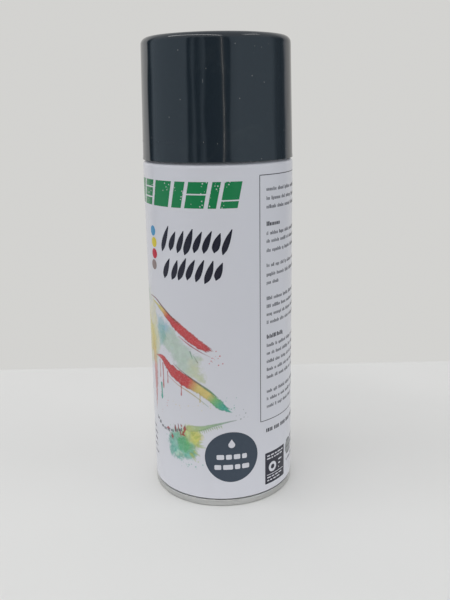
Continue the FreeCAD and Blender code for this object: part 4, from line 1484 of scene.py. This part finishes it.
stops = [(-180, WALL), (-150, (0.74, 0.73, 0.71)), (-129, (0.92, 0.91, 0.90)), (-124.5, lvl(0.03)), (-117, lvl(0.05)), (-110, lvl(0.94)), (-80, lvl(1.04)),
         (-46, lvl(1.10)), (-42.5, lvl(0.04)), (-38.5, lvl(0.06)), (-34.8, lvl(0.80)), (-30.5, lvl(0.05)), (-25.5, lvl(0.08)), (-19.5, lvl(0.74)),
         (-15.5, lvl(0.04)), (1, lvl(0.10)), (5.6, lvl(0.20)), (7.6, (0.34, 0.33, 0.31)), (11.2, (0.34, 0.33, 0.31)), (13, lvl(0.16)), (18.5, lvl(0.08)),
         (21.5, lvl(1.0)), (34, lvl(1.22)), (68, lvl(1.12)), (90, lvl(0.92)), (101, lvl(0.30)), (115, lvl(0.13)), (123, lvl(0.20)),
         (129, (0.52, 0.52, 0.54)), (136, WALL), (180, WALL)]
band_c = ramp_val(nt, fac, [((d + 180) / 360.0, c) for d, c in stops])
# a thin bright gap between two curtains, broken along its height
gap = math_node(nt, "ABSOLUTE", math_node(nt, "SUBTRACT", math_node(nt, "MULTIPLY", turn, 180 / math.pi), 9.1))
gap = math_node(nt, "MULTIPLY", math_node(nt, "SUBTRACT", 0.75, gap), 2.6, clamp=True)
height = node(nt, "ShaderNodeCombineXYZ")
link(nt, math_node(nt, "MULTIPLY", up, 95.0), height.inputs[2])
broken = math_node(nt, "MULTIPLY", math_node(nt, "SUBTRACT", noise(nt, height.outputs[0], 1.0, 3.0, 0.65), 0.46, clamp=True), 8.0, clamp=True)
band_c = mix_rgb(nt, math_node(nt, "MULTIPLY", gap, math_node(nt, "MAXIMUM", broken, 0.12)), band_c, (4.6, 4.3, 3.9))
# above the band the room is bright; well below it only the floor is seen
high = math_node(nt, "SMOOTH_MIN", 1.0, math_node(nt, "MAXIMUM", math_node(nt, "MULTIPLY", math_node(nt, "SUBTRACT", up, 0.24), 2.2), 0.0), 0.1)
room = mix_rgb(nt, high, band_c, (0.73, 0.73, 0.735))
bg_room = node(nt, "ShaderNodeBackground")
link(nt, room, bg_room.inputs[0])
bg_room.inputs[1].default_value = 1.0
bg_seen = node(nt, "ShaderNodeBackground")
bg_seen.inputs[0].default_value = (*BACK_TONE, 1)
lp = node(nt, "ShaderNodeLightPath")
mixs = node(nt, "ShaderNodeMixShader")
link(nt, lp.outputs["Is Camera Ray"], mixs.inputs[0])
link(nt, bg_room.outputs[0], mixs.inputs[1])
link(nt, bg_seen.outputs[0], mixs.inputs[2])
wo = node(nt, "ShaderNodeOutputWorld")
link(nt, mixs.outputs[0], wo.inputs[0])
world.cycles.sampling_method = "MANUAL"
world.cycles.sample_map_resolution = 512

for nm, az, el, dist, wide, high_, power in (("key", -43, 61, 1.5, 2.0, 0.20, 6.7), ("fill", 77, 55, 1.5, 0.6, 0.22, 1.1)):
    ld = bpy.data.lights.new(nm, "AREA")
    ld.shape = "RECTANGLE"
    ld.size = wide
    ld.size_y = high_
    ld.energy = power
    lo_ = bpy.data.objects.new(nm, ld)
    A_ = math.radians(FACING + az)
    e_ = math.radians(el)
    pos = Vector((math.sin(A_) * math.cos(e_), -math.cos(A_) * math.cos(e_), math.sin(e_))) * dist + Vector((0, 0, 0.1))
    lo_.location = pos
    lo_.rotation_euler = (Vector((0, 0, 0.1)) - pos).to_track_quat("-Z", "Y").to_euler()
    scene.collection.objects.link(lo_)

# light thrown back by the pale floor close to the can
ld = bpy.data.lights.new("bounce", "AREA")
ld.shape = "DISK"
ld.size = 0.17
ld.energy = 0.022
lo_ = bpy.data.objects.new("bounce", ld)
lo_.location = (0, 0, 0.0003)
lo_.rotation_euler = (math.pi, 0, 0)
lo_.visible_camera = False
lo_.visible_glossy = False
scene.collection.objects.link(lo_)

cam_data = bpy.data.cameras.new("camera")
cam_data.sensor_width = 36.0
cam_data.lens = 36.0 * 719.7108 / 600.0
cam_data.clip_start = 0.01
cam_data.clip_end = 50.0
cam = bpy.data.objects.new("camera", cam_data)
scene.collection.objects.link(cam)
th, rho, psi, D_, H_ = 0.26683022, -0.01721577, 0.00649063, 0.3196535, 0.174419
fw = Vector((math.sin(psi) * math.cos(th), math.cos(psi) * math.cos(th), -math.sin(th)))
right = fw.cross(Vector((0, 0, 1))).normalized()
upv = right.cross(fw)
r2 = math.cos(rho) * right + math.sin(rho) * upv
u2 = -math.sin(rho) * right + math.cos(rho) * upv
Rz = Matrix.Rotation(math.radians(FACING), 3, "Z")
r2, u2, fw = Rz @ r2, Rz @ u2, Rz @ fw
loc = Rz @ Vector((0, -D_, H_))
cam.matrix_world = Matrix(((r2.x, u2.x, -fw.x, loc.x), (r2.y, u2.y, -fw.y, loc.y), (r2.z, u2.z, -fw.z, loc.z), (0, 0, 0, 1)))
scene.camera = cam
scene.view_settings.view_transform = "Standard"
